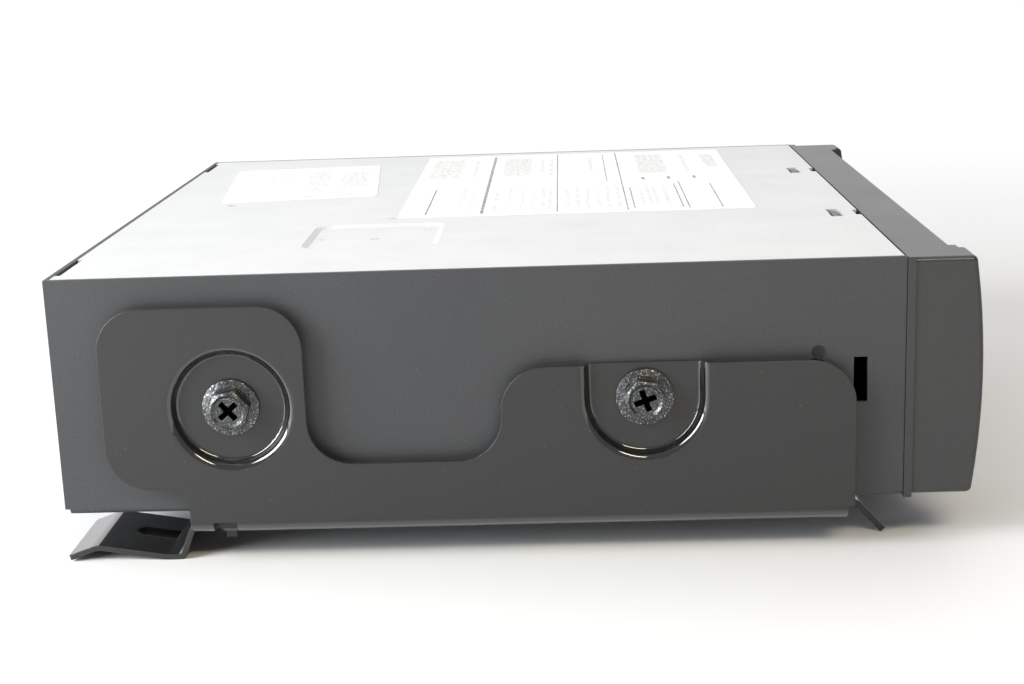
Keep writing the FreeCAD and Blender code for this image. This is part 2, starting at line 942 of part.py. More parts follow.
# Lid: bare sheet let in between the tray's walls, flush with their tops. Each side is turned down, and
# there are slots for the fascia hooks and a shallow sunk pad.
lid = new_body("top_cover")
lid_rear = s.case_sheet + s.lid_rear_gap
lid_front = s.case_depth - s.lid_front_gap
hem_outer = inner - s.lid_hem_gap
plate = Drawing(lid, "XY", lid_low).rectangle((-hem_outer, hem_outer), (lid_rear, lid_front))
pad(plate, s.lid_sheet)
hems = Drawing(lid, "XY", lid_low - s.lid_hem)
for across in both_sides(hem_outer - s.lid_sheet, hem_outer):
    hems.rectangle(across, (s.lid_hem_inset, lid_front - s.lid_hem_inset))
pad(hems, s.lid_hem)
for add, level in ((pad, lid_low), (pocket, s.case_height)):
    sunk = Drawing(lid, "XY", level - s.sunk_pad_depth).rectangle(
        (-s.sunk_pad_outer, -s.sunk_pad_inner),
        (s.sunk_pad_rear, s.sunk_pad_front),
        s.sunk_pad_corner,
    )
    bind(add(sunk, s.sunk_pad_depth), "TaperAngle", s.sunk_pad_slope)
lid_cuts = Drawing(lid, "XY", lid_low)
slot_middle = (s.lid_slot_near + s.lid_slot_far) / 2
for across in both_sides(s.lid_slot_near, s.lid_slot_far):
    lid_cuts.rectangle(across, (s.lid_slot_rear, s.lid_slot_rear + s.lid_slot_depth))
for across in both_sides(slot_middle - s.lid_notch_width / 2, slot_middle + s.lid_notch_width / 2):
    lid_cuts.rectangle(across, (lid_front - s.lid_notch_depth, s.case_depth))
for across in both_sides(s.lid_rear_notch_near, s.lid_rear_notch_far):
    lid_cuts.rectangle(across, (0, lid_rear + s.lid_rear_notch_depth))
pocket(lid_cuts, s.lid_sheet)
keep(lid, "top_cover")


def end_tabs(body, start):
    """Two tabs at each side, folded along the tray's walls and spot welded to them."""
    tabs = Drawing(body, "XZ", start)
    for across in both_sides(inner - s.case_sheet, inner):
        for low in (s.end_tab_low, s.end_tab_high):
            tabs.rectangle(across, (low, low + s.end_tab_height))
    pad(tabs, s.end_tab_width)


# Rear wall, with an opening for each fitting and a ledge inside that carries the lid.
rear_wall = new_body("rear_panel")
fin_pitch = (s.sink_right - s.sink_left - s.fin_thick) / (s.fin_count - 1)
sink_screw_z = (s.amp_low + s.amp_high) / 2
sink_screws = [s.sink_left + fin_pitch * (i + 0.5) + s.fin_thick / 2 for i in (1, 8)]
back = Drawing(rear_wall, "XZ").rectangle((-inner, inner), (s.case_sheet, s.case_height))
back.rectangle((s.connector_left, s.connector_right), (s.connector_low, s.connector_high))
back.rectangle((s.fuse_left, s.fuse_right), (s.fuse_low, s.fuse_high))
back.rectangle(
    (s.amp_left - s.amp_tab_gap, s.amp_right + s.amp_tab_gap),
    (s.amp_low - s.amp_tab_gap, s.amp_high + s.amp_tab_gap),
)
back.circle(s.aerial_x, s.aerial_z, s.aerial_radius)
back.circle(s.stud_x, s.stud_z, s.stud_radius)
for x in sink_screws:
    back.circle(x, sink_screw_z, s.screw_radius)
pad(back, s.case_sheet)
end_tabs(rear_wall, s.case_sheet)
ledge = Drawing(rear_wall, "XZ", s.case_sheet)
ledge.rectangle((-s.lid_ledge_half, s.lid_ledge_half), (lid_low - s.case_sheet, lid_low))
pad(ledge, s.lid_ledge)
keep(rear_wall, "rear_panel")

# Front plate behind the fascia: slot for the disc, window for the plug between the boards.
front_wall = new_body("front_plate")
plate_rear = s.case_depth - s.case_sheet
hook_notch_low = s.hook_low - s.hook_gap
front = Drawing(front_wall, "XZ", plate_rear).loop(
    (-inner, s.case_sheet),
    (inner, s.case_sheet),
    (inner, lid_low),
    (s.lid_slot_far, lid_low),
    (s.lid_slot_far, hook_notch_low),
    (s.lid_slot_near, hook_notch_low),
    (s.lid_slot_near, lid_low),
    (-s.lid_slot_near, lid_low),
    (-s.lid_slot_near, hook_notch_low),
    (-s.lid_slot_far, hook_notch_low),
    (-s.lid_slot_far, lid_low),
    (-inner, lid_low),
)
pad(front, s.case_sheet)
openings = Drawing(front_wall, "XZ", plate_rear)
openings.rectangle(
    (-s.link_half - s.link_gap, s.link_half + s.link_gap),
    (s.link_low - s.link_gap, s.link_high + s.link_gap),
)
openings.rectangle((-s.case_slot_half, s.case_slot_half), (s.case_slot_low, s.case_slot_high))
pocket(openings, s.case_sheet)
end_tabs(front_wall, plate_rear - s.end_tab_width)
keep(front_wall, "front_plate")

# Side bracket: pressed steel plate held off the tray by two recesses, with a bottom flange, a sprung
# rear foot and a front tab to stand on.
bracket = new_body("bracket_left")
outer_face = half + s.bracket_standoff + s.bracket_sheet
inner_face = half + s.bracket_standoff
floor_face = half + s.bracket_sheet
bend_top = s.bend_radius - s.flange_drop
side = Drawing(bracket, "YZ", -outer_face).loop(
    (s.rear_lobe_rear, s.rear_lobe_low, s.bracket_corner),
    (s.rear_lobe_rear, s.rear_lobe_high, s.bracket_corner),
    (s.rear_lobe_front, s.rear_lobe_high, s.bracket_corner),
    (s.rear_lobe_front, s.notch_height, s.bracket_corner),
    (s.notch_front, s.notch_height, s.bracket_corner),
    (s.notch_front, s.front_lobe_high, s.bracket_corner),
    (s.bracket_front, s.front_lobe_high, s.bracket_corner),
    (s.bracket_front, bend_top),
    (s.flange_rear, bend_top),
    (s.flange_rear, s.rear_lobe_low, s.flange_corner),
)
pad(side, s.bracket_sheet)
flange_top = s.bracket_sheet - s.flange_drop
bend = Drawing(bracket, "XZ", s.flange_rear).loop(
    (-outer_face, bend_top + s.bracket_sheet),
    (-outer_face, -s.flange_drop, s.bend_radius),
    (-s.flange_inner, -s.flange_drop),
    (-s.flange_inner, flange_top),
    (-inner_face, flange_top, s.bend_radius - s.bracket_sheet),
    (-inner_face, bend_top + s.bracket_sheet),
)
pad(bend, s.flange_front - s.flange_rear)
slope_length = root(s.recess_slope * s.recess_slope + s.bracket_standoff * s.bracket_standoff)
inner_shift = s.bracket_sheet * (slope_length - s.recess_slope) / s.bracket_standoff
rim_radius = s.recess_floor_radius + s.recess_slope + s.recess_rim
recess_outline = (
    (-outer_face, rim_radius, None),
    (-outer_face, s.recess_floor_radius + s.recess_slope, s.recess_rim_round),
    (-floor_face, s.recess_floor_radius, s.recess_floor_round),
)
recess_inside = (
    (-half, s.recess_floor_radius + inner_shift, None),
    (-inner_face, s.recess_floor_radius + s.recess_slope + inner_shift, None),
    (-inner_face, rim_radius, None),
)


def corner(x, along, rounding):
    return (x, along) if rounding is None else (x, along, rounding)


def recess_cut(depth, open_top):
    gap = Drawing(bracket, "YZ", -outer_face)
    gap.circle(depth, s.bracket_screw_height, rim_radius)
    pocket(gap, s.bracket_sheet)
    if open_top:
        gap = Drawing(bracket, "YZ", -outer_face)
        gap.rectangle(
            (depth - rim_radius, depth + rim_radius), (s.bracket_screw_height, s.front_lobe_high)
        )
        pocket(gap, s.bracket_sheet)


def recess_turning(depth, degrees, backward=False):
    """The recess turned about its screw, all round or only its lower half."""
    section = Drawing(bracket, "XY", s.bracket_screw_height)
    outline = [corner(x, depth + along, bend_) for x, along, bend_ in recess_outline]
    outline += [(-floor_face, depth), (-half, depth)]
    outline += [corner(x, depth + along, bend_) for x, along, bend_ in recess_inside]
    section.loop(*outline)
    section.axis((-half, depth), (-floor_face, depth))
    return revolve(section, "Axis0", degrees, backward)


recess_cut(s.rear_screw_depth, False)
recess_turning(s.rear_screw_depth, 360.0)
recess_cut(s.front_screw_depth, True)
recess_turning(s.front_screw_depth, 180.0, backward=True)
channel = Drawing(bracket, "XY", s.bracket_screw_height)
channel.loop(
    *[corner(x, s.front_screw_depth + along, bend_) for x, along, bend_ in recess_outline],
    *[corner(x, s.front_screw_depth - along, bend_) for x, along, bend_ in recess_outline[::-1]],
    *[corner(x, s.front_screw_depth - along, bend_) for x, along, bend_ in recess_inside[::-1]],
    *[corner(x, s.front_screw_depth + along, bend_) for x, along, bend_ in recess_inside],
)
pad(channel, s.front_lobe_high - s.bracket_screw_height)
bolt_holes = Drawing(bracket, "YZ", -outer_face)
for depth in bolt_depths:
    bolt_holes.circle(depth, s.bracket_screw_height, s.bolt_radius)
pocket(bolt_holes, outer_face - half)
nick_inner = outer_face - s.nick_reach
nick = Drawing(bracket, "XY", -s.flange_drop)
nick.rectangle((-outer_face, -nick_inner), (s.nick_rear, s.nick_front))
pocket(nick, s.nick_height)
tongue_rear = (s.nick_rear + s.nick_front - s.tongue_width) / 2
tongue_front = tongue_rear + s.tongue_width
tongue_face = s.tongue_lean - nick_inner
tongue = Drawing(bracket, "XZ", s.nick_rear).loop(
    (-nick_inner, flange_top),
    (tongue_face, -s.tongue_shoulder),
    (tongue_face, -s.tongue_drop),
    (tongue_face + s.bracket_sheet, -s.tongue_drop),
    (tongue_face + s.bracket_sheet, -s.tongue_shoulder),
    (s.bracket_sheet - nick_inner, flange_top),
)
pad(tongue, s.nick_front - s.nick_rear)
trims = Drawing(bracket, "YZ", -nick_inner)
for edge, side_ in ((s.nick_rear, tongue_rear), (s.nick_front, tongue_front)):
    trims.loop(
        (edge, -s.flange_drop),
        (side_, -s.tongue_shoulder),
        (side_, -s.tongue_drop),
        (edge, -s.tongue_drop),
    )
pocket(trims, s.tongue_lean + s.bracket_sheet)
half_sheet = s.bracket_sheet / 2
flange_middle = flange_top - half_sheet
heel = half_sheet - s.foot_height
foot_section = Drawing(bracket, "XZ", s.foot_root)
foot_section.rectangle((-s.foot_outer, -s.foot_inner), (-s.flange_drop, flange_top))
foot_path = Drawing(bracket, "YZ", -(s.foot_inner + s.foot_outer) / 2).path(
    (s.foot_root, flange_middle),
    (s.foot_bend_depth, flange_middle, s.foot_bend),
    (s.heel_front, heel, s.foot_bend),
    (s.heel_rear, heel, s.foot_bend),
    (s.foot_crest_depth, s.foot_crest_height - s.foot_height, s.foot_crest_bend),
    (s.foot_tip_depth, s.foot_tip_height - s.foot_height),
)
sweep(foot_section, foot_path)
foot_rise = (s.foot_crest_height - s.foot_height - heel) / (s.heel_rear - s.foot_crest_depth)


def above_foot(depth, height):
    """A point so far above the top of the sloping foot."""
    return (depth, heel + foot_rise * (s.heel_rear - depth) + half_sheet + height)


bead = Drawing(bracket, "YZ", -s.foot_bead_centre).loop(
    above_foot(s.foot_bead_rear, 0),
    above_foot(s.foot_bead_rear + s.foot_bead_end, -s.foot_bead_depth),
    above_foot(s.heel_rear, -s.foot_bead_depth),
    above_foot(s.heel_rear, s.foot_bead_radius),
    above_foot(s.foot_bead_rear, s.foot_bead_radius),
)
bead.axis(
    above_foot(s.foot_bead_rear, s.foot_bead_radius),
    above_foot(s.heel_rear, s.foot_bead_radius),
)
groove(bead, "Axis0")
tab_drop = s.foot_height + flange_middle - half_sheet * cosine(s.tab_angle)
tab_section = Drawing(bracket, "XZ", s.tab_root)
tab_section.rectangle((-s.tab_outer, -s.tab_inner), (-s.flange_drop, flange_top))
tab_path = Drawing(bracket, "YZ", -(s.tab_inner + s.tab_outer) / 2).path(
    (s.tab_root, flange_middle),
    (s.tab_bend_depth, flange_middle, s.foot_bend),
    (
        s.tab_bend_depth + tab_drop * cosine(s.tab_angle) / sine(s.tab_angle),
        flange_middle - tab_drop,
    ),
)
sweep(tab_section, tab_path)
keep(bracket, "bracket_left")
mirrored = doc.addObject("Part::Mirroring", "bracket_right")
mirrored.Source = bracket
mirrored.Normal = FreeCAD.Vector(1, 0, 0)
keep(mirrored, "bracket_right")


def bracket_bolt(x, depth, way):
    """Hexagon head with a washer face, a dished top and a cross recess, tightened to its own angle."""
    angle = s.bolt_rear_turn if depth is s.rear_screw_depth else s.bolt_front_turn
    turn = HEAD_TURNS[way] * FreeCAD.Rotation(FreeCAD.Vector(0, 0, 1), angle.value)
    bolt = new_body("bracket_bolt", x, depth, s.bracket_screw_height, turn)
    across_corners = s.bolt_hex_flats / root(3)
    top = s.bolt_flange_height + s.bolt_hex_height
    turned = Drawing(bolt, "XZ").loop(
        (0, -s.bolt_length),
        (s.bolt_radius, -s.bolt_length),
        (s.bolt_radius, 0),
        (s.bolt_flange_radius, 0),
        (s.bolt_flange_radius, s.bolt_flange_edge),
        (across_corners, s.bolt_flange_height),
        (across_corners, top - s.bolt_hex_bevel),
        (across_corners - s.bolt_hex_bevel * 2, top),
        (s.bolt_dish_radius, top),
        (s.bolt_dish_radius - s.bolt_dish_depth, top - s.bolt_dish_depth),
        (0, top - s.bolt_dish_depth),
    )
    revolve(turned, "V_Axis")
    flats = Drawing(bolt, "XY", s.bolt_flange_height)
    flats.circle(0, 0, s.bolt_flange_radius)
    flats.loop(*[
        (across_corners * cosine(60 * i), across_corners * sine(60 * i)) for i in range(6)
    ])
    pocket(flats, s.bolt_hex_height)
    arm, wide = s.bolt_cross_length / 2, s.bolt_cross_width / 2
    cross = Drawing(bolt, "XY", top - s.bolt_cross_depth)
    cross.loop(
        (arm, -wide), (arm, wide), (wide, wide), (wide, arm), (-wide, arm), (-wide, wide),
        (-arm, wide), (-arm, -wide), (-wide, -wide), (-wide, -arm), (wide, -arm), (wide, -wide),
    )
    pocket(cross, s.bolt_cross_depth)
    return bolt


keep(
    group(*[
        bracket_bolt(x, depth, way)
        for x, way in ((-floor_face, "left"), (floor_face, "right"))
        for depth in bolt_depths
    ]),
    "bracket_screws",
)

# Fascia: one moulding with a rib against the tray, raised cheeks and a flat recessed middle.
fascia = new_body("fascia")
rib_front = s.fascia_rear + s.fascia_rib
fascia_top = s.case_height - s.fascia_inset
hollow_front = s.face_front - s.fascia_wall
hollow_half = half - s.fascia_side_wall
hollow_low = s.fascia_inset + s.fascia_wall
hollow_high = fascia_top - s.fascia_wall
moulding = Drawing(fascia, "YZ", -half).loop(
    (rib_front, s.fascia_inset),
    (s.cheek_edge_front, s.fascia_inset, s.fascia_corner),
    (s.cheek_edge_front + s.cheek_bulge * 2, s.case_height / 2, s.cheek_round),
    (s.cheek_edge_front, fascia_top, s.fascia_corner),
    (rib_front, fascia_top),
)
solid_front = pad(moulding, s.case_width)
fillet(
    solid_front,
    s.fascia_edge,
    lambda edge: (
        (near(edge.BoundBox.XMin, half) or near(edge.BoundBox.XMax, -half))
        and near(edge.BoundBox.XMin, edge.BoundBox.XMax)
        and edge.BoundBox.YMin < -number(rib_front) - 0.01
    ),
)
middle = Drawing(fascia, "XZ", s.step_front).rectangle(
    (-s.step_half, s.step_half), (-s.fascia_inset, s.case_height + s.fascia_inset)
)
pocket(middle, s.knob_front - s.step_front)
flat = Drawing(fascia, "XZ", s.face_front).rectangle(
    (-s.face_half, s.face_half), (-s.fascia_inset, s.case_height + s.fascia_inset)
)
pocket(flat, s.step_front - s.face_front)
rib = Drawing(fascia, "XZ", s.fascia_rear).rectangle(
    (-half - s.fascia_rib_proud, half + s.fascia_rib_proud),
    (-s.fascia_rib_proud, s.case_height - s.fascia_rib_top_gap),
)
pad(rib, s.fascia_rib)
cavity = Drawing(fascia, "XZ", s.fascia_rear).rectangle(
    (-hollow_half, hollow_half), (hollow_low, hollow_high), s.fascia_corner
)
pocket(cavity, hollow_front - s.fascia_rear)
cheeks = Drawing(fascia, "XZ", hollow_front)
for across in both_sides(s.step_half, hollow_half):
    cheeks.rectangle(across, (hollow_low, hollow_high), s.fascia_corner)
pocket(cheeks, s.cheek_hollow_front - hollow_front)

row_places = [s.preset_pitch * (i - 3) for i in range(int(s.preset_count.value) + 1)]
corner_places = (-s.corner_button_x, s.corner_button_x)
preset_size = (s.preset_width, s.preset_height)
corner_size = (s.corner_button_width, s.corner_button_height)
rocker_side = s.rocker_width / 2 + s.rocker_gap


def face_hole(across, height, rounding=None):
    """An opening through the flat face."""
    opening = Drawing(fascia, "XZ", hollow_front).rectangle(across, height, rounding)
    pocket(opening, s.fascia_wall)


def button_hole(x, height, size):
    wide, high = size[0] / 2 + s.button_gap, size[1] / 2 + s.button_gap
    face_hole((x - wide, x + wide), (height - high, height + high), s.button_corner)


for x in row_places:
    button_hole(x, s.row_height, preset_size)
for x in corner_places:
    button_hole(x, s.corner_button_z, corner_size)
window_up = (s.window_low, s.window_high)
face_hole((s.window_left, s.window_right), window_up, s.button_corner)
face_hole(
    (s.rocker_x - rocker_side, s.rocker_x + rocker_side), window_up, s.rocker_hole_corner
)
face_hole((-s.slot_half, s.slot_half), (s.slot_low, s.slot_high))
bush_holes = Drawing(fascia, "XZ", hollow_front)
for x in (-s.knob_x, s.knob_x):
    bush_holes.circle(x, s.knob_z, s.bush_radius + s.bush_clearance)
pocket(bush_holes, s.fascia_wall)

# Eyes for the shutter's and the rocker's pins, and pegs that hold the front board.
eyes = Drawing(fascia, "YZ", -s.shutter_half - s.shutter_ear_gap - s.shutter_ear_thick)
shutter_eye = (
    (s.shutter_pin_front - s.shutter_ear_half, hollow_front),
    (s.shutter_pin_z - s.shutter_ear_half, hollow_high),
)
eyes.rectangle(*shutter_eye)
pad(eyes, s.shutter_ear_thick)
eyes = Drawing(fascia, "YZ", s.shutter_half + s.shutter_ear_gap).rectangle(*shutter_eye)
pad(eyes, s.shutter_ear_thick)
rocker_z = (s.window_low + s.window_high) / 2
rocker_eye = (
    (s.rocker_pin_front - s.rocker_ear_half, hollow_front),
    (rocker_z - s.rocker_ear_half, rocker_z + s.rocker_ear_half),
)
for start in (s.rocker_x - rocker_side - s.rocker_ear_thick, s.rocker_x + rocker_side):
    eyes = Drawing(fascia, "YZ", start).rectangle(*rocker_eye)
    pad(eyes, s.rocker_ear_thick)
eye_holes = Drawing(fascia, "YZ", -half + s.fascia_side_wall)
eye_holes.circle(s.shutter_pin_front, s.shutter_pin_z, s.shutter_pin_radius + s.running_gap)
pocket(eye_holes, hollow_half * 2)
eye_holes = Drawing(fascia, "YZ", s.rocker_x - rocker_side - s.rocker_ear_thick)
eye_holes.circle(s.rocker_pin_front, rocker_z, s.rocker_pin_radius + s.running_gap)
pocket(eye_holes, (rocker_side + s.rocker_ear_thick) * 2)
board_front = s.front_board_rear + s.front_board_thick
peg_places = [(x, z) for x in (-s.peg_x, s.peg_x) for z in (s.peg_low, s.peg_high)]
pegs = Drawing(fascia, "XZ", board_front)
for x, z in peg_places:
    pegs.circle(x, z, s.peg_radius * 2)
pad(pegs, s.cheek_hollow_front - board_front)
pegs = Drawing(fascia, "XZ", s.front_board_rear)
for x, z in peg_places:
    pegs.circle(x, z, s.peg_radius)
pad(pegs, s.front_board_thick)

# Spring hooks that reach back through the front plate and catch in the lid's slots.
hook_top = lid_low - s.hook_gap
hooks = Drawing(fascia, "XY", s.hook_low)
noses = Drawing(fascia, "XY", hook_top)
nose_rear = s.lid_slot_rear + (s.lid_slot_depth - s.hook_nose) / 2
for across in both_sides(s.hook_near, s.hook_far):
    hooks.rectangle(across, (s.hook_rear, rib_front))
    noses.rectangle(across, (nose_rear, nose_rear + s.hook_nose))
pad(hooks, hook_top - s.hook_low)
nose_feature = pad(noses, s.hook_rise)
doc.recompute()
slot_edges = edges_where(
    nose_feature.Shape,
    lambda edge: lies(
        edge, (-s.slot_half, s.slot_half), (s.face_front, s.face_front), (s.slot_low, s.slot_high)
    ),
)
slot_bevel = fascia.newObject("PartDesign::Chamfer", "fascia_slot_bevel")
slot_bevel.Base = (nose_feature, slot_edges)
bind(slot_bevel, "Size", s.slot_bevel)
keep(fascia, "fascia")

# Clear pane with a rim behind the face, and the display module behind it.
pane = new_body("display_window")
rim_rear = hollow_front - s.window_rim_height
glass = Drawing(pane, "XZ", rim_rear).rectangle(
    (s.window_left - s.window_rim, s.window_right + s.window_rim),
    (s.window_low - s.window_rim, s.window_high + s.window_rim),
    s.button_corner,
)
pad(glass, s.window_rim_height)
glass = Drawing(pane, "XZ", rim_rear).rectangle(
    (s.window_left + s.window_gap, s.window_right - s.window_gap),
    (s.window_low + s.window_gap, s.window_high - s.window_gap),
    s.button_corner - s.window_gap,
)
pad(glass, s.face_front - s.window_recess - rim_rear)
keep(pane, "display_window")

module = new_body("display_module")
module_front = rim_rear - s.display_gap
module_across = (s.window_left - s.display_margin, s.window_right + s.display_margin)
module_up = (s.window_low - s.display_margin, s.window_high + s.display_margin)
case = Drawing(module, "XZ", board_front).rectangle(module_across, module_up)
pad(case, module_front - board_front)
inset = s.display_margin + s.display_glass_inset
sunk = Drawing(module, "XZ", module_front - s.display_glass_height).rectangle(
    (module_across[0] + inset, module_across[1] - inset), (module_up[0] + inset, module_up[1] - inset)
)
pocket(sunk, s.display_glass_height)
keep(module, "display_module")

# Board behind the fascia, with the plug that reaches through the front plate.
front_board = new_body("front_board")
outline = Drawing(front_board, "XZ", s.front_board_rear).loop(
    (-s.front_board_half, s.front_board_low),
    (s.front_board_half, s.front_board_low),
    (s.front_board_half, s.front_board_top),
    (s.front_board_ear, s.front_board_top),
    (s.front_board_ear, s.front_board_high),
    (-s.front_board_ear, s.front_board_high),
    (-s.front_board_ear, s.front_board_top),
    (-s.front_board_half, s.front_board_top),
)
for x, z in peg_places:
    outline.circle(x, z, s.peg_radius)
pad(outline, s.front_board_thick)
plug = Drawing(front_board, "XZ", s.link_split).rectangle(
    (-s.link_half, s.link_half), (s.link_low, s.link_high)
)
pad(plug, s.front_board_rear - s.link_split)
keep(front_board, "front_board")

# One small switch behind each button and two behind the rocker.
plunger_front = board_front + s.switch_height + s.switch_plunger
rocker_feet = [rocker_z + sign * s.rocker_foot for sign in (1, -1)]
switch_places = [(x, s.row_height) for x in row_places]
switch_places += [(x, s.corner_button_z) for x in corner_places]
switch_places += [(s.rocker_x, z) for z in rocker_feet]
switches = []
for x, z in switch_places:
    switch = new_body("tact_switch", x, 0, z)
    reach = s.switch_side / 2
    case = Drawing(switch, "XZ", board_front).rectangle((-reach, reach), (-reach, reach))
    pad(case, s.switch_height)
    button = Drawing(switch, "XZ", board_front + s.switch_height)
    button.circle(0, 0, s.switch_button_radius)
    pad(button, s.switch_plunger)
    switches.append(switch)
keep(group(*switches), "tact_switches")

# Push buttons: cap, a rim behind the face above and below, and a stem that stops short of its switch.
cap_rear = hollow_front - s.button_seat_gap - s.button_rim_height
cap_front = s.face_front + s.button_proud
stem_rear = plunger_front + s.button_travel + s.press_gap


def button(name, x, height, size):
    cap = new_body(name, x, 0, height)
    wide, high = size[0] / 2, size[1] / 2
    face = Drawing(cap, "XZ", cap_rear)
    face.rectangle((-wide, wide), (-high, high), s.button_corner)
    top = pad(face, cap_front - cap_rear)
    fillet(
        top,
        s.button_edge,
        lambda edge: near(edge.BoundBox.YMin, -cap_front) and near(edge.BoundBox.YMax, -cap_front),
    )
    rim_high = high + s.button_rim
    back_rim = Drawing(cap, "XZ", cap_rear).rectangle((-wide, wide), (-rim_high, rim_high))
    pad(back_rim, s.button_rim_height)
    stem = Drawing(cap, "XZ", stem_rear).circle(0, 0, s.stem_radius)
    pad(stem, cap_rear - stem_rear)
    keep(cap, name)


button("mode_button", row_places[0], s.row_height, preset_size)
for i, x in enumerate(row_places[1:], start=1):
    button(f"preset_button_{i}", x, s.row_height, preset_size)
button("power_button", corner_places[0], s.corner_button_z, corner_size)
button("eject_button", corner_places[1], s.corner_button_z, corner_size)

# Seek rocker on two pins, with a shallow finger hollow at each end.
rocker = new_body("seek_rocker", s.rocker_x, 0, rocker_z)
rocker_half = s.rocker_width / 2
rocker_high = (s.window_high - s.window_low) / 2 - s.rocker_gap
rocker_rear = plunger_front + s.rocker_back_gap
bar = Drawing(rocker, "YZ", -rocker_half).loop(
    (rocker_rear, -rocker_high),
    (cap_front, -rocker_high, s.button_corner),
    (cap_front - s.rocker_dip, 0, s.rocker_dip_round),
    (cap_front, rocker_high, s.button_corner),
    (rocker_rear, rocker_high),
)
pad(bar, s.rocker_width)
pin_reach = rocker_half + s.rocker_gap + s.rocker_pin_length
pins = Drawing(rocker, "YZ", -pin_reach).circle(s.rocker_pin_front, 0, s.rocker_pin_radius)
pad(pins, pin_reach * 2)
keep(rocker, "seek_rocker")

# Rotary encoders with hollow bushes, and knobs whose moulded stems turn in them.
encoders = []
for x in (-s.knob_x, s.knob_x):
    encoder = new_body("rotary_encoder", x, 0, s.knob_z)
    reach = s.encoder_side / 2
    case = Drawing(encoder, "XZ", board_front).rectangle((-reach, reach), (-reach, reach))
    pad(case, s.encoder_front - board_front)
    bush = Drawing(encoder, "XZ", s.encoder_front)
    bush.circle(0, 0, s.bush_radius).circle(0, 0, s.shaft_radius + s.running_gap)
    pad(bush, s.bush_front - s.encoder_front)
    encoders.append(encoder)
keep(group(*encoders), "rotary_encoders")


def knob(name, x):
    """A cup with a fluted rim, a pointer groove and a moulded stem."""
    cup = new_body(name, x, 0, s.knob_z)
    rear = s.face_front + s.knob_gap
    floor = s.knob_front - s.knob_front_wall
    turned = Drawing(cup, "XY").loop(
        (0, s.knob_front),
        (s.knob_radius, s.knob_front, s.knob_edge),
        (s.knob_radius, rear),
        (s.knob_radius - s.knob_wall, rear),
        (s.knob_radius - s.knob_wall, floor),
        (s.shaft_radius, floor),
        (s.shaft_radius, floor - s.shaft_length),
        (0, floor - s.shaft_length),
    )
    revolve(turned, "V_Axis")
    groove = Drawing(cup, "XZ", s.knob_front - s.knob_mark_depth).rectangle(
        (-s.knob_mark_width / 2, s.knob_mark_width / 2),
        (s.knob_radius / 2, s.knob_radius - s.knob_edge * 1.5),
    )
    pocket(groove, s.knob_mark_depth)
    flute = Drawing(cup, "XZ", rear)
    flute.circle(0, s.knob_radius + s.knob_flute_radius - s.knob_flute_depth, s.knob_flute_radius)
    cup.Tip = pocket(flute, s.knob_front - rear - s.knob_flute_stop)
    doc.recompute()
    around(cup.Tip, s.knob_flutes)
    keep(cup, name)


knob("volume_knob", -s.knob_x)
knob("tune_knob", s.knob_x)

# Shutter behind the disc slot, hung on two end pins and opening inward.
shutter = new_body("slot_shutter")
flap = Drawing(shutter, "YZ", -s.shutter_half).rectangle(
    (s.shutter_pin_front - s.shutter_thick / 2, s.shutter_pin_front + s.shutter_thick / 2),
    (s.shutter_low, s.shutter_pin_z),
)
pad(flap, s.shutter_half * 2)
rod = Drawing(shutter, "YZ", -s.shutter_half)
rod.circle(s.shutter_pin_front, s.shutter_pin_z, s.shutter_pin_radius + s.shutter_hub)
pad(rod, s.shutter_half * 2)
reach = s.shutter_half + s.shutter_ear_gap + s.shutter_ear_thick
rod = Drawing(shutter, "YZ", -reach)
rod.circle(s.shutter_pin_front, s.shutter_pin_z, s.shutter_pin_radius)
pad(rod, reach * 2)
keep(shutter, "slot_shutter")

# Main board with the sockets for the link to the front board and for the ribbon cable.
main_board = new_body("main_board")
board = Drawing(main_board, "XY", s.board_low)
board.rectangle((-s.board_half, s.board_half), (s.board_rear, s.board_front))
for x, depth in post_places:
    board.circle(x, depth, s.screw_radius)
pad(board, s.board_thick)
sockets = Drawing(main_board, "XY", board_top)
sockets.rectangle((-s.link_half, s.link_half), (s.link_socket_rear, s.link_split))
pad(sockets, s.link_high - board_top)
socket_half = s.ribbon_width / 2 + s.socket_wall
ribbon_across = (s.ribbon_x - socket_half, s.ribbon_x + socket_half)
sockets = Drawing(main_board, "XY", board_top).rectangle(
    ribbon_across, (s.ribbon_depth - s.socket_depth / 2, s.ribbon_depth + s.socket_depth / 2)
)
pad(sockets, s.socket_height)
keep(main_board, "main_board")

tuner = new_body("tuner_module")
tuner_top = board_top + s.tuner_height
can = Drawing(tuner, "XY", board_top).rectangle(
    (s.tuner_left, s.tuner_right), (s.tuner_rear, s.tuner_front), s.button_corner
)
pad(can, s.tuner_height)
can = Drawing(tuner, "XY", tuner_top - s.tuner_cover).rectangle(
    (s.tuner_left - s.tuner_sheet, s.tuner_right + s.tuner_sheet),
    (s.tuner_rear - s.tuner_sheet, s.tuner_front + s.tuner_sheet),
    s.button_corner,
)
pad(can, s.tuner_cover + s.tuner_sheet)
trim_holes = Drawing(tuner, "XY", tuner_top)
for share in (0.25, 0.5, 0.75):
    trim_holes.circle(
        s.tuner_left + (s.tuner_right - s.tuner_left) * share,
        (s.tuner_rear + s.tuner_front) / 2,
        s.tuner_hole,
    )
pocket(trim_holes, s.tuner_sheet)
keep(tuner, "tuner_module")

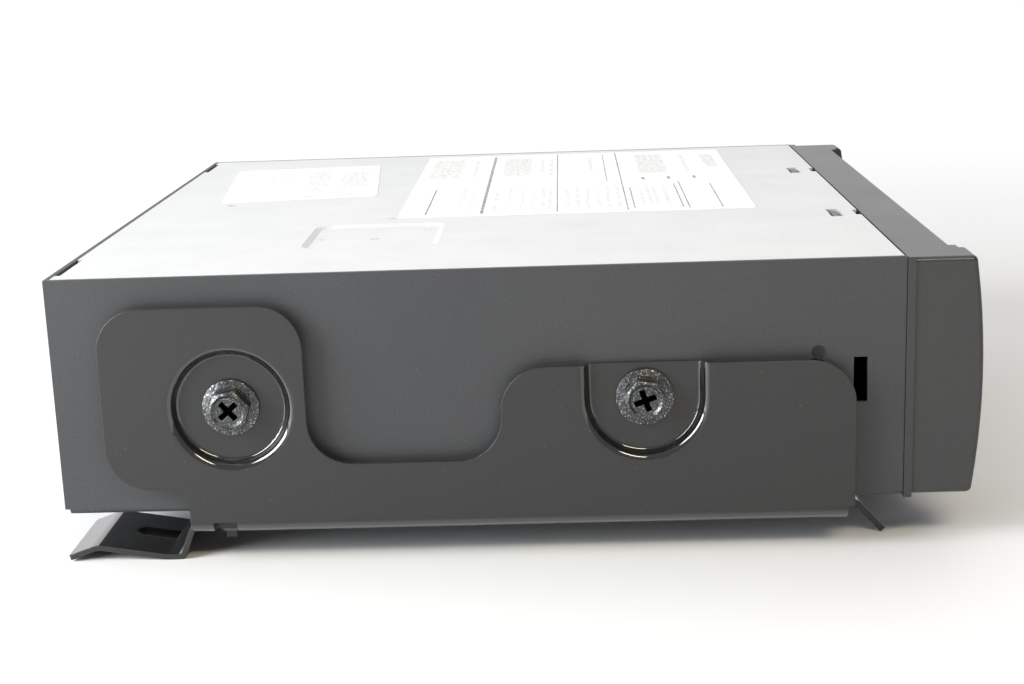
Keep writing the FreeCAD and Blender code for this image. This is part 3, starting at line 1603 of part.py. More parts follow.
capacitors = []
for i in range(int(s.capacitor_count.value)):
    x = s.capacitor_x + s.capacitor_pitch * i
    capacitor = new_body("capacitor", x, s.capacitor_depth, board_top)
    low, deep = s.capacitor_groove_low, s.capacitor_groove
    turned = Drawing(capacitor, "XZ").loop(
        (0, 0),
        (s.capacitor_radius, 0),
        (s.capacitor_radius, low),
        (s.capacitor_radius - deep, low + deep),
        (s.capacitor_radius, low + deep * 2),
        (s.capacitor_radius, s.capacitor_height, deep),
        (0, s.capacitor_height),
    )
    revolve(turned, "V_Axis")
    capacitors.append(capacitor)
keep(group(*capacitors), "capacitors")

chips = []
for i in range(int(s.chip_count.value)):
    chip = new_body("logic_chip", s.chip_x + s.chip_pitch * i, s.chip_depth, board_top)
    reach = s.chip_side / 2
    pad(Drawing(chip, "XY").rectangle((-reach, reach), (-reach, reach)), s.chip_height)
    spot = Drawing(chip, "XY", s.chip_height - s.chip_spot_depth)
    spot.circle(-reach * 0.75, reach * 0.75, s.chip_spot)
    pocket(spot, s.chip_spot_depth)
    chips.append(chip)
keep(group(*chips), "logic_chips")

# Amplifier block seated in the rear wall's window against the heat sink.
amplifier = new_body("power_amplifier")
package = Drawing(amplifier, "XZ").rectangle((s.amp_left, s.amp_right), (s.amp_low, s.amp_high))
pad(package, s.amp_thick)
leads = Drawing(amplifier, "XY", board_top)
lead_rear = s.board_rear + s.amp_pin_side / 2
lead_pitch = (s.amp_right - s.amp_left) / s.amp_pin_count
for i in range(int(s.amp_pin_count.value)):
    left = s.amp_left + lead_pitch * (i + 0.5) - s.amp_pin_side / 2
    leads.rectangle((left, left + s.amp_pin_side), (lead_rear, lead_rear + s.amp_pin_side))
pad(leads, s.amp_low - board_top)
keep(amplifier, "power_amplifier")

heat_sink = new_body("heat_sink")
comb = [(s.sink_left, 0), (s.sink_right, 0)]
fin_count = int(s.fin_count.value)
for i in reversed(range(fin_count)):
    left = s.sink_left + fin_pitch * i
    right = left + s.fin_thick
    if i < fin_count - 1:
        comb.append((right, -s.sink_base))
    comb += [(right, -s.sink_depth), (left, -s.sink_depth)]
    if i > 0:
        comb.append((left, -s.sink_base))
pad(Drawing(heat_sink, "XY", s.sink_low).loop(*comb), s.sink_high - s.sink_low)
sink_holes = Drawing(heat_sink, "XZ", -s.sink_base)
for x in sink_screws:
    sink_holes.circle(x, sink_screw_z, s.screw_radius)
pocket(sink_holes, s.sink_base)
keep(heat_sink, "heat_sink")

# Harness socket with a seat for the fuse, standing on the main board behind the rear wall.
pins = []
pin_middle_x = (s.connector_left + s.connector_right) / 2
pin_middle_z = (s.connector_low + s.connector_high) / 2
pin_half = s.pin_side / 2
for row in (0, 1):
    z = pin_middle_z + s.pin_row_gap * (row - 0.5)
    bend_at = s.connector_inside + s.pin_inside + s.pin_side * 2 * row
    for column in range(int(s.pin_columns.value)):
        x = pin_middle_x + s.pin_pitch * (column - (s.pin_columns - 1) / 2)
        across = (x - pin_half, x + pin_half)
        straight = box(
            across, (s.pin_setback - s.connector_reach, bend_at), (z - pin_half, z + pin_half)
        )
        leg = box(across, (bend_at - s.pin_side, bend_at), (board_top, z))
        pins.append(fuse(straight, leg))
connector_pins = keep(group(*pins), "connector_pins")
harness = new_body("harness_block")
block = Drawing(harness, "XZ", -s.connector_reach).rectangle(
    (s.connector_left, s.connector_right), (s.connector_low, s.connector_high)
)
pad(block, s.connector_reach + s.connector_inside)
cavity_across = (s.connector_left + s.connector_wall, s.connector_right - s.connector_wall)
cavity_up = (s.connector_low + s.connector_wall, s.connector_high - s.connector_wall)
mouth = Drawing(harness, "XZ", -s.connector_reach).rectangle(
    cavity_across, cavity_up, s.connector_corner
)
pocket(mouth, s.connector_reach + s.connector_floor)
key = Drawing(harness, "XZ", s.connector_wall - s.connector_reach).rectangle(
    (pin_middle_x - s.connector_key_width / 2, pin_middle_x + s.connector_key_width / 2),
    (cavity_up[1] - s.connector_key_height, cavity_up[1]),
)
pad(key, s.connector_reach - s.connector_wall + s.connector_floor)
foot = Drawing(harness, "XY", board_top).rectangle(
    (s.connector_left, s.fuse_right + s.connector_wall), (s.board_rear, s.connector_foot)
)
pad(foot, s.connector_low - board_top)
fuse_end = s.fuse_body - s.fuse_reach
seat = Drawing(harness, "XZ", fuse_end).rectangle(
    (s.fuse_left - s.connector_wall, s.fuse_right + s.connector_wall),
    (s.connector_low, s.fuse_high + s.connector_wall),
)
pad(seat, s.connector_foot - fuse_end)
keep(cut(harness, connector_pins), "harness_connector")

fuse_plug = new_body("fuse")
plug = Drawing(fuse_plug, "XZ", -s.fuse_reach).rectangle(
    (s.fuse_left, s.fuse_right), (s.fuse_low, s.fuse_high)
)
pad(plug, s.fuse_body)
fuse_middle = (s.fuse_left + s.fuse_right) / 2
grip = Drawing(fuse_plug, "XY", s.fuse_high - s.fuse_grip).rectangle(
    (fuse_middle - s.fuse_reach, fuse_middle + s.fuse_reach),
    (s.fuse_grip - s.fuse_reach, -s.fuse_grip),
)
pocket(grip, s.fuse_grip)
keep(fuse_plug, "fuse")

aerial = new_body("antenna_socket", s.aerial_x, 0, s.aerial_z)
aerial_floor = s.aerial_bore_depth - s.aerial_reach
turned = Drawing(aerial, "XY").loop(
    (s.aerial_tip_bore, aerial_floor),
    (s.aerial_bore, aerial_floor),
    (s.aerial_bore, -s.aerial_reach),
    (s.aerial_radius, -s.aerial_reach),
    (s.aerial_radius, -s.aerial_collar),
    (s.aerial_collar_radius, -s.aerial_collar),
    (s.aerial_collar_radius, 0),
    (s.aerial_radius, 0),
    (s.aerial_radius, s.aerial_inside),
    (0, s.aerial_inside),
    (0, aerial_floor + s.aerial_tip_depth),
    (s.aerial_tip_bore, aerial_floor + s.aerial_tip_depth),
)
revolve(turned, "V_Axis")
keep(aerial, "antenna_socket")

stud = new_body("rear_stud", s.stud_x, 0, s.stud_z)
turned = Drawing(stud, "XY").loop(
    (0, s.case_sheet),
    (s.stud_radius, s.case_sheet),
    (s.stud_radius, 0),
    (s.stud_flange_radius, 0),
    (s.stud_flange_radius, -s.stud_flange),
    (s.stud_radius, -s.stud_flange),
    (s.stud_radius, s.stud_bevel - s.stud_length),
    (s.stud_radius - s.stud_bevel, -s.stud_length),
    (0, -s.stud_length),
)
revolve(turned, "V_Axis")
keep(stud, "rear_stud")


def small_screw(x, depth, height, way):
    """Pan head with a straight slot."""
    screw = new_body("small_screw", x, depth, height, HEAD_TURNS[way])
    turned = Drawing(screw, "XZ").loop(
        (0, -s.screw_length),
        (s.screw_radius, -s.screw_length),
        (s.screw_radius, 0),
        (s.screw_head_radius, 0),
        (s.screw_head_radius, s.screw_head_height, s.screw_head_height / 2),
        (0, s.screw_head_height),
    )
    revolve(turned, "V_Axis")
    wide, long = s.screw_slot_width / 2, s.screw_slot_length / 2
    slit = Drawing(screw, "XY", s.screw_head_height - s.screw_slot_depth)
    slit.rectangle((-long, long), (-wide, wide))
    pocket(slit, s.screw_slot_depth)
    return screw


screws = [small_screw(x, depth, board_top, "up") for x, depth in post_places]
ear_top = s.mech_ear_high + s.mech_sheet
screws += [small_screw(x, depth, ear_top, "up") for x, depth in ear_places]
screws += [small_screw(x, s.case_sheet, sink_screw_z, "front") for x in sink_screws]
keep(group(*screws), "small_screws")

# Disc mechanism: folded frame on the tray's shelves, with lugs for the clamp arm and studs for
# the loading unit.
mech = new_body("mech_frame")
mech_inner = s.mech_half - s.mech_sheet
mech_floor = s.mech_low + s.mech_sheet
trough = Drawing(mech, "XZ", s.mech_rear).loop(
    (-s.mech_half, s.mech_low),
    (s.mech_half, s.mech_low),
    (s.mech_half, s.mech_high),
    (mech_inner, s.mech_high),
    (mech_inner, mech_floor),
    (-mech_inner, mech_floor),
    (-mech_inner, s.mech_high),
    (-s.mech_half, s.mech_high),
)
pad(trough, s.mech_front - s.mech_rear)
for start, top in ((s.mech_rear, s.mech_high), (s.mech_front - s.mech_sheet, s.mech_front_high)):
    end_wall = Drawing(mech, "XZ", start)
    end_wall.rectangle((-mech_inner, mech_inner), (mech_floor, top))
    pad(end_wall, s.mech_sheet)
window = Drawing(mech, "XY", s.mech_low).rectangle(
    (s.mech_ring - s.mech_half, s.mech_half - s.mech_ring),
    (s.mech_rear + s.mech_ring, s.mech_front - s.mech_ring),
    s.bracket_corner,
)
pocket(window, s.mech_sheet)
ears = Drawing(mech, "XY", s.mech_ear_high)
for across in both_sides(s.mech_half, s.mech_ear_reach):
    for depth in ear_depths:
        ears.rectangle(across, (depth - s.mech_ear_width / 2, depth + s.mech_ear_width / 2))
pad(ears, s.mech_sheet)
ear_holes = Drawing(mech, "XY", s.mech_ear_high)
for x, depth in ear_places:
    ear_holes.circle(x, depth, s.screw_radius)
pocket(ear_holes, s.mech_sheet)
lug_inner = s.arm_ear_half + s.arm_lug_gap
for start in (-lug_inner - s.arm_lug, lug_inner):
    lug = Drawing(mech, "YZ", start).rectangle(
        (s.mech_rear + s.mech_sheet, s.arm_pivot_depth + s.arm_lug_margin),
        (s.arm_pivot_z - s.arm_lug_margin, s.arm_pivot_z + s.arm_lug_margin / 2),
    )
    pad(lug, s.arm_lug)
lug_holes = Drawing(mech, "YZ", -lug_inner - s.arm_lug)
lug_holes.circle(s.arm_pivot_depth, s.arm_pivot_z, s.arm_pin_radius + s.running_gap)
pocket(lug_holes, (lug_inner + s.arm_lug) * 2)
arm_inner_left = s.arm_left_outer - s.carriage_sheet
arm_inner_right = s.arm_right_outer - s.carriage_sheet
stud_left_end = arm_inner_left - s.pivot_over
stud_right_end = arm_inner_right - s.pivot_over
pivot = (s.pivot_depth, s.pivot_height)
studs = Drawing(mech, "YZ", -mech_inner).circle(*pivot, s.pivot_radius)
pad(studs, mech_inner - stud_left_end)
studs = Drawing(mech, "YZ", stud_right_end).circle(*pivot, s.pivot_radius)
pad(studs, mech_inner - stud_right_end)
keep(mech, "mech_frame")

mech_board = new_body("mech_board")
mech_board_rear = s.mech_rear - s.mech_board_thick
plate = Drawing(mech_board, "XZ", mech_board_rear).rectangle(
    (s.mech_board_left, s.mech_board_right), (s.mech_board_low, s.mech_board_high)
)
pad(plate, s.mech_board_thick)
ribbon_rear = mech_board_rear - s.socket_depth
ribbon_top = s.mech_board_low + s.socket_height * 2
socket = Drawing(mech_board, "XZ", ribbon_rear).rectangle(
    ribbon_across, (ribbon_top, ribbon_top + s.socket_height)
)
pad(socket, s.socket_depth)
keep(mech_board, "mech_board")

ribbon = new_body("ribbon_cable")
ribbon_front = mech_board_rear - s.socket_depth / 2
ribbon_half = s.ribbon_width / 2
strip = Drawing(ribbon, "XY", ribbon_top).rectangle(
    (s.ribbon_x - ribbon_half, s.ribbon_x + ribbon_half),
    (ribbon_front - s.ribbon_thick / 2, ribbon_front + s.ribbon_thick / 2),
)
ribbon_end = board_top + s.socket_height
ribbon_fall = ribbon_top - ribbon_end
run = Drawing(ribbon, "YZ", s.ribbon_x).path(
    (ribbon_front, ribbon_top),
    (ribbon_front, ribbon_top - ribbon_fall * 0.3, s.ribbon_bend),
    (s.ribbon_depth, ribbon_end + ribbon_fall * 0.3, s.ribbon_bend),
    (s.ribbon_depth, ribbon_end),
)
sweep(strip, run)
keep(ribbon, "ribbon_cable")

guide = new_body("disc_guide")
lead_in = Drawing(guide, "YZ", -s.guide_half).loop(
    (s.guide_rear, s.guide_low),
    (s.guide_front - s.guide_rib, s.guide_low),
    (s.guide_front, s.guide_low + s.guide_rib),
    (s.guide_front, s.guide_high),
    (s.guide_rear, s.guide_high),
)
pad(lead_in, s.guide_half * 2)
tabs = Drawing(guide, "XY", s.guide_low)
for across in both_sides(s.guide_half, mech_inner):
    tabs.rectangle(across, (s.guide_rear, s.guide_rear + s.guide_tab))
pad(tabs, s.guide_high - s.guide_low)
keep(guide, "disc_guide")

# Playing deck: plate on four rubber dampers, carrying the spindle motor and the pickup drive.
deck = new_body("mech_deck")
damper_places = [
    (x, depth) for x in (-s.damper_x, s.damper_x) for depth in (s.damper_rear, s.damper_front)
]
motor_right = s.lead_left - s.rod_tab * 2
motor_left = motor_right - s.sled_motor_length
plate = Drawing(deck, "XY", s.deck_low)
plate.rectangle((-s.deck_half, s.deck_half), (s.deck_rear, s.deck_front))
plate.circle(0, s.disc_centre, s.deck_hub_hole)
for x, depth in damper_places:
    plate.circle(x, depth, s.damper_neck)
plate.rectangle(
    (
        s.lens_start - s.holder_half - s.deck_window_gap,
        s.lens_start + s.sled_travel + s.holder_half + s.deck_window_gap,
    ),
    (s.holder_rear - s.deck_window_gap, s.holder_front + s.deck_window_gap),
)
plate.rectangle(
    (motor_left - s.deck_window_gap, motor_right),
    (s.screw_depth - s.sled_motor_tab_half, s.screw_depth + s.sled_motor_tab_half),
)
pad(plate, s.deck_sheet)
tab_start_right = s.deck_half - s.rod_tab
rod_tab_span = (s.rod_depth - s.rod_tab_half, s.rod_depth + s.rod_tab_half)
small_tab_span = (s.screw_depth - s.rod_tab_half, s.screw_depth + s.rod_tab_half)
motor_tab_span = (s.screw_depth - s.sled_motor_tab_half, s.screw_depth + s.sled_motor_tab_half)
tab_list = (
    (s.rod_left, rod_tab_span, s.rod_tab_drop),
    (tab_start_right, rod_tab_span, s.rod_tab_drop),
    (motor_right, motor_tab_span, s.sled_motor_tab_drop),
    (tab_start_right, small_tab_span, s.rod_tab_drop),
)
for start, span, drop in tab_list:
    tab = Drawing(deck, "YZ", start).rectangle(span, (s.deck_low - drop, s.deck_low))
    pad(tab, s.rod_tab)
for start, spot, radius in (
    (s.rod_left, s.rod_depth, s.rod_radius),
    (tab_start_right, s.rod_depth, s.rod_radius),
    (motor_right, s.screw_depth, s.rod_radius + s.running_gap),
    (tab_start_right, s.screw_depth, s.motor_shaft + s.running_gap),
):
    hole = Drawing(deck, "YZ", start).circle(spot, s.rod_height, radius)
    pocket(hole, s.rod_tab)
keep(deck, "mech_deck")

dampers = []
neck_top = s.deck_low + s.deck_sheet
for x, depth in damper_places:
    damper = new_body("damper", x, depth, 0)
    turned = Drawing(damper, "XZ").loop(
        (0, mech_floor),
        (s.damper_radius, mech_floor),
        (s.damper_radius - s.damper_groove, (mech_floor + s.deck_low) / 2, s.damper_radius),
        (s.damper_radius, s.deck_low),
        (s.damper_neck, s.deck_low),
        (s.damper_neck, neck_top),
        (s.damper_radius, neck_top),
        (s.damper_neck, neck_top + s.damper_cap),
        (0, neck_top + s.damper_cap),
    )
    revolve(turned, "V_Axis")
    dampers.append(damper)
keep(group(*dampers), "dampers")

spindle = new_body("spindle_motor", 0, s.disc_centre, 0)
motor_low = s.deck_low - s.motor_height
shaft_floor = motor_low + s.motor_cup_edge
turned = Drawing(spindle, "XZ").loop(
    (0, motor_low),
    (s.motor_radius, motor_low, s.motor_cup_edge),
    (s.motor_radius, s.deck_low),
    (s.motor_shaft + s.running_gap, s.deck_low),
    (s.motor_shaft + s.running_gap, shaft_floor),
    (0, shaft_floor),
)
revolve(turned, "V_Axis")
keep(spindle, "spindle_motor")

turntable = new_body("turntable", 0, s.disc_centre, 0)
platter_low = s.platter_top - s.platter_thick
hub_low = neck_top + s.platter_hub_gap
turned = Drawing(turntable, "XZ").loop(
    (0, shaft_floor + s.running_gap),
    (s.motor_shaft, shaft_floor + s.running_gap),
    (s.motor_shaft, hub_low),
    (s.platter_hub_radius, hub_low),
    (s.platter_hub_radius, platter_low),
    (s.platter_radius, platter_low),
    (s.platter_radius, s.platter_top),
    (s.cone_radius, s.platter_top),
    (s.cone_tip_radius, s.platter_top + s.cone_height),
    (0, s.platter_top + s.cone_height),
)
revolve(turned, "V_Axis")
keep(turntable, "turntable")

# Pickup drive: motor, lead screw, guide rod and the sled with its lens.
sled_motor = new_body("sled_motor", 0, s.screw_depth, s.rod_height)
pad(Drawing(sled_motor, "YZ", motor_left).circle(0, 0, s.sled_motor_radius), s.sled_motor_length)
journal = s.rod_tab * 5
socket = Drawing(sled_motor, "YZ", motor_right - journal)
socket.circle(0, 0, s.motor_shaft + s.running_gap)
pocket(socket, journal)
keep(sled_motor, "sled_motor")

lead_screw = new_body("lead_screw", 0, s.screw_depth, s.rod_height)
lead_right = tab_start_right - s.running_gap * 4
pad(Drawing(lead_screw, "YZ", s.lead_left).circle(0, 0, s.rod_radius), lead_right - s.lead_left)
ends = Drawing(lead_screw, "YZ", motor_right - journal + s.running_gap)
ends.circle(0, 0, s.motor_shaft)
pad(ends, s.deck_half - motor_right + journal - s.running_gap)
keep(lead_screw, "lead_screw")

guide_rod = new_body("guide_rod", 0, s.rod_depth, s.rod_height)
pad(Drawing(guide_rod, "YZ", s.rod_left).circle(0, 0, s.rod_radius), s.deck_half - s.rod_left)
keep(guide_rod, "guide_rod")

sled = new_body("pickup_sled", s.lens_start, 0, 0)
base = Drawing(sled, "XY", s.sled_low).rectangle(
    (-s.sled_half, s.sled_half), (s.sled_rear, s.sled_front)
)
pad(base, s.sled_high - s.sled_low)
nut_rise = s.nut_half + s.rod_radius / 2
nut = Drawing(sled, "XY", s.rod_height - nut_rise).rectangle(
    (-s.nut_reach, s.nut_reach), (s.sled_front, s.screw_depth + s.nut_half)
)
pad(nut, nut_rise * 2)
holder = Drawing(sled, "XY", s.sled_high).rectangle(
    (-s.holder_half, s.holder_half), (s.holder_rear, s.holder_front), s.button_corner
)
pad(holder, s.holder_high - s.sled_high)
bores = Drawing(sled, "YZ", -s.sled_half)
for depth in (s.rod_depth, s.screw_depth):
    bores.circle(depth, s.rod_height, s.rod_radius + s.running_gap)
pocket(bores, s.sled_half * 2)
keep(sled, "pickup_sled")

lens = new_body("objective_lens", s.lens_start, s.disc_centre, s.holder_high)
lens_rise = s.lens_high - s.holder_high
turned = Drawing(lens, "XZ").loop(
    (0, 0),
    (s.lens_radius, 0),
    (s.lens_radius, lens_rise * 0.5),
    (s.lens_radius * 0.8, lens_rise * 0.5),
    (s.lens_radius * 0.5, lens_rise * 0.9),
    (0, lens_rise),
)
revolve(turned, "V_Axis")
keep(lens, "objective_lens")

# Clamp arm over the turntable, hinged on pins at the rear, and the clamper that turns in it.
arm = new_body("clamp_arm")
plate = Drawing(arm, "XY", s.arm_low).loop(
    (-s.arm_ear_half, s.arm_rear),
    (s.arm_ear_half, s.arm_rear),
    (s.arm_ear_half, s.arm_ear_front),
    (s.arm_half, s.arm_waist),
    (s.arm_half, s.arm_front, s.arm_nose),
    (-s.arm_half, s.arm_front, s.arm_nose),
    (-s.arm_half, s.arm_waist),
    (-s.arm_ear_half, s.arm_ear_front),
)
plate.circle(0, s.disc_centre, s.clamper_neck + s.clamper_hole_gap)
pad(plate, s.arm_sheet)
for start in (-s.arm_ear_half, s.arm_ear_half - s.arm_sheet):
    ear = Drawing(arm, "YZ", start)
    ear.rectangle((s.arm_rear, s.arm_ear_front), (s.arm_ear_low, s.arm_low + s.arm_sheet))
    pad(ear, s.arm_sheet)
pin_long = lug_inner + s.arm_lug + s.arm_lug_gap - s.arm_ear_half
for start in (-s.arm_ear_half - pin_long, s.arm_ear_half):
    pin = Drawing(arm, "YZ", start).circle(s.arm_pivot_depth, s.arm_pivot_z, s.arm_pin_radius)
    pad(pin, pin_long)
keep(arm, "clamp_arm")

clamper = new_body("clamper", 0, s.disc_centre, 0)
clamper_plate_low = s.arm_low - s.clamper_play - s.clamper_thick
cap_low = s.arm_low + s.arm_sheet + s.clamper_play
turned = Drawing(clamper, "XZ").loop(
    (0, clamper_plate_low + s.clamper_recess_depth),
    (s.clamper_recess, clamper_plate_low + s.clamper_recess_depth),
    (s.clamper_recess, clamper_plate_low),
    (s.clamper_radius, clamper_plate_low),
    (s.clamper_radius, clamper_plate_low + s.clamper_thick),
    (s.clamper_neck, clamper_plate_low + s.clamper_thick),
    (s.clamper_neck, cap_low),
    (s.clamper_cap, cap_low),
    (s.clamper_cap, cap_low + s.clamper_cap_thick),
    (0, cap_low + s.clamper_cap_thick),
)
revolve(turned, "V_Axis")
keep(clamper, "clamper")


def pitch_radius(teeth):
    return s.gear_module * teeth / 2


def involute(ratio):
    """The involute angle in degrees where the base circle is this share of the radius."""
    slope = math.acos(min(ratio, 1.0))
    return math.degrees(math.tan(slope) - slope)


def gear_teeth(gear, teeth, start, gap_bearing, bore=None):
    """A toothed wheel with one gap centred on the bearing, given up from straight back."""
    count = number(teeth)
    pitch = pitch_radius(teeth)
    tip = pitch + s.gear_module * s.gear_addendum
    bottom = pitch - s.gear_module * s.gear_dedendum
    blank = Drawing(gear, "YZ", start).circle(0, 0, tip)
    if bore is not None:
        blank.circle(0, 0, bore)
    pad(blank, s.gear_width)
    pressure = math.cos(math.radians(20.0))
    thinning = math.degrees(number(s.gear_backlash) / number(pitch) / 2)
    flank = []
    for radius in (bottom, pitch * pressure, pitch, (pitch + tip) / 2, tip, tip * 1.03):
        share = number(pitch) * pressure / min(number(radius), number(tip))
        tooth = 90 / count - thinning + involute(pressure) - involute(share)
        if not flank or number(radius) > number(flank[-1][0]):
            flank.append((radius, 180 / count - tooth))
    corners = []
    for side, points in ((1, flank), (-1, flank[::-1])):
        for radius, turn in points:
            bearing = gap_bearing + side * turn
            corners.append((-radius * cosine(bearing), radius * sine(bearing)))
    gap = pocket(Drawing(gear, "YZ", start).loop(*corners), s.gear_width)
    gear.Tip = gap
    doc.recompute()
    around(gap, teeth)


# Loading unit: a carriage that swings the roller up to the disc, with its motor and gears.
gear_start = -s.arm_left_outer - s.gear_gap - s.gear_width
roller_reach = pitch_radius(s.roller_teeth) * 2
roller_depth = s.pivot_depth - roller_reach * cosine(s.roller_bearing)
roller_height = s.pivot_height + roller_reach * sine(s.roller_bearing)
tooth_pitch = 360 / s.roller_teeth.value
pinion_bearing = s.roller_bearing - tooth_pitch * 4
pinion_reach = pitch_radius(s.roller_teeth) + pitch_radius(s.pinion_teeth)
pinion_depth = s.pivot_depth - pinion_reach * cosine(pinion_bearing)
pinion_height = s.pivot_height + pinion_reach * sine(pinion_bearing)

carriage = new_body("roller_carriage")
arm_reach = s.roller_shaft + s.carriage_margin
bar_rear = s.pivot_depth - s.carriage_bar_half
bar_front = s.pivot_depth + s.carriage_bar_half
for start in (-s.arm_left_outer, arm_inner_right):
    cheek = Drawing(carriage, "YZ", start).loop(
        (roller_depth - arm_reach, s.carriage_bar_low),
        (bar_front, s.carriage_bar_low),
        (bar_front, s.pivot_height + arm_reach),
        (roller_depth + arm_reach, roller_height + arm_reach),
        (roller_depth - arm_reach, roller_height + arm_reach, arm_reach),
    )
    cheek.circle(roller_depth, roller_height, s.roller_shaft + s.running_gap)
    cheek.circle(s.pivot_depth, s.pivot_height, s.pivot_radius + s.running_gap)
    cheek.circle(pinion_depth, pinion_height, s.roller_shaft)
    pad(cheek, s.carriage_sheet)
bar = Drawing(carriage, "XY", s.carriage_bar_low).rectangle(
    (-s.arm_left_outer, s.arm_right_outer), (bar_rear, bar_front)
)
pad(bar, s.carriage_sheet)
keep(carriage, "roller_carriage")

load_motor = new_body("loading_motor", 0, pinion_depth, pinion_height)
can = Drawing(load_motor, "YZ", -arm_inner_left).circle(0, 0, s.load_motor_radius)
pad(can, s.load_motor_length)
pinion_shaft = s.roller_inner_gap * 3
socket = Drawing(load_motor, "YZ", -arm_inner_left)
socket.circle(0, 0, s.load_motor_shaft + s.running_gap)
pocket(socket, pinion_shaft)
keep(load_motor, "loading_motor")

pinion = new_body("loading_pinion", 0, pinion_depth, pinion_height)
half_tooth = 180 / s.pinion_teeth.value
gear_teeth(pinion, s.pinion_teeth, gear_start, pinion_bearing + 180 + half_tooth)
shaft = Drawing(pinion, "YZ", gear_start + s.gear_width).circle(0, 0, s.load_motor_shaft)
pad(shaft, s.gear_gap + s.carriage_sheet + pinion_shaft - s.running_gap * 2)
keep(pinion, "loading_pinion")

idler = new_body("idler_gear", 0, s.pivot_depth, s.pivot_height)
gear_teeth(idler, s.roller_teeth, gear_start, s.roller_bearing, s.pivot_radius + s.running_gap)
keep(idler, "idler_gear")

roller = new_body("loading_roller", 0, roller_depth, roller_height)
half_tooth = tooth_pitch / 2
gear_teeth(roller, s.roller_teeth, gear_start, s.roller_bearing + 180 + half_tooth)
shaft = Drawing(roller, "YZ", gear_start).circle(0, 0, s.roller_shaft)
pad(shaft, s.arm_right_outer + s.gear_gap - gear_start)
keep(roller, "loading_roller")

sleeves = []
for side in (1, -1):
    sleeve = new_body("roller_sleeve", 0, roller_depth, roller_height)
    turned = Drawing(sleeve, "XY").loop(
        (s.roller_inner_gap * side, s.roller_shaft),
        (s.roller_inner_gap * side, s.roller_waist),
        ((arm_inner_left - s.roller_end_gap) * side, s.roller_radius),
        ((arm_inner_left - s.roller_end_gap) * side, s.roller_shaft),
    )
    revolve(turned, "H_Axis")
    sleeves.append(sleeve)
keep(group(*sleeves), "roller_sleeves")

doc.recompute()
os.makedirs("parts", exist_ok=True)
for thing in doc.Objects:
    if "Invalid" in thing.State or "Error" in thing.State:
        raise RuntimeError(f"{thing.Name} ({thing.Label}) has the state {thing.State}")
for thing in nodes:
    if thing.Shape.isNull() or not thing.Shape.isValid():
        raise RuntimeError(f"{thing.Label} has no sound shape")
    thing.Shape.exportStep(f"parts/{thing.Label}.step")
    bounds = thing.Shape.BoundBox
    print(thing.Label, len(thing.Shape.Solids), round(thing.Shape.Volume, 1), bounds)
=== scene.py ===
# %% [markdown]
# # A car CD player, photographed on a white table
#
# The player is a folded steel tray with a bright lid, a pressed black bracket on each side and a
# moulded black front. The solids come ready-made from the CAD model. This lesson gives them their
# finishes, adds the paper labels and the small printed marks, and sets up the table, the lamps and the
# camera.

# %% Load the solids
import math
import bmesh
import bpy
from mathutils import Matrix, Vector


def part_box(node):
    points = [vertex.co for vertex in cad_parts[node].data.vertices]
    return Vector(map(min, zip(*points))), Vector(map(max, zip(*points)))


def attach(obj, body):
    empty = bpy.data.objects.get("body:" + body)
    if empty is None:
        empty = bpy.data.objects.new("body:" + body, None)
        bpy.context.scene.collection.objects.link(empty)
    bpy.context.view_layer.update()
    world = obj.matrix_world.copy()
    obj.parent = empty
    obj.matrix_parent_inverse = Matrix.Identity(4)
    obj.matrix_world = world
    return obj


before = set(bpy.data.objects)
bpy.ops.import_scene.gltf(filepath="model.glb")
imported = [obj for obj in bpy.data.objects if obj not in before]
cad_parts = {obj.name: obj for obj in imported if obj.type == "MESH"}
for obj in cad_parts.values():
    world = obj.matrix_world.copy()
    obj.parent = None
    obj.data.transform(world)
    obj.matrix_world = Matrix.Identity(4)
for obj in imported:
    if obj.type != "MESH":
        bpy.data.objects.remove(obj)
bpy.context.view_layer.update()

MM = 0.001

# %% [markdown]
# The camera stands at the left side of the player, a little above it, and looks down by about fourteen
# degrees. Its place was found from the straight edges of the lid and the tray, whose real sizes are
# known, so the picture has the same perspective as the photograph. The lens is given as a focal length
# for a sensor 36 mm wide.

# %% Camera
CAMERA_PLACE = (-0.4201, -0.0171, 0.1259)
CAMERA_TURN = (76.27, 1.983, -88.456)
camera_data = bpy.data.cameras.new("camera")
camera_data.sensor_width = 36.0
camera_data.lens = 59.32
camera_data.clip_start = 0.01
camera = bpy.data.objects.new("camera", camera_data)
camera.location = CAMERA_PLACE
camera.rotation_euler = [math.radians(angle) for angle in CAMERA_TURN]
bpy.context.scene.collection.objects.link(camera)
bpy.context.scene.camera = camera
print("camera tilted down by", round(90 - CAMERA_TURN[0], 1), "degrees")

# %% [markdown]
# A finish is a small network of nodes around one Principled shader. Writing the sums of such a network
# as plain arithmetic keeps them readable, so a `Wire` stands for one output socket and knows how to
# add, take away and multiply. Each sum puts one Math node into the network.


# %% Wires that do arithmetic
class Wire:
    """One output of a node, on which sums can be written."""

    def __init__(self, network, socket):
        self.network = network
        self.socket = socket

    def sum(self, operation, first, second):
        return self.network.node("Math", {"operation": operation}, {0: first, 1: second})

    def __add__(self, other):
        return self.sum("ADD", self, other)

    def __radd__(self, other):
        return self.sum("ADD", other, self)

    def __sub__(self, other):
        return self.sum("SUBTRACT", self, other)

    def __rsub__(self, other):
        return self.sum("SUBTRACT", other, self)

    def __mul__(self, other):
        return self.sum("MULTIPLY", self, other)

    def __rmul__(self, other):
        return self.sum("MULTIPLY", other, self)


print("sums on wires: + - *")

# %% [markdown]
# A `Network` is a tree of nodes. Its `node` method makes any node: the type, then the settings, then
# what goes into the sockets. Settings come first because some of them, such as the kind of mix, change
# which sockets there are. A `Finish` is the network of one material. Colours are written as they look
# on a screen, from 0 to 255, and `shade` turns them into the linear light that the shader works with.


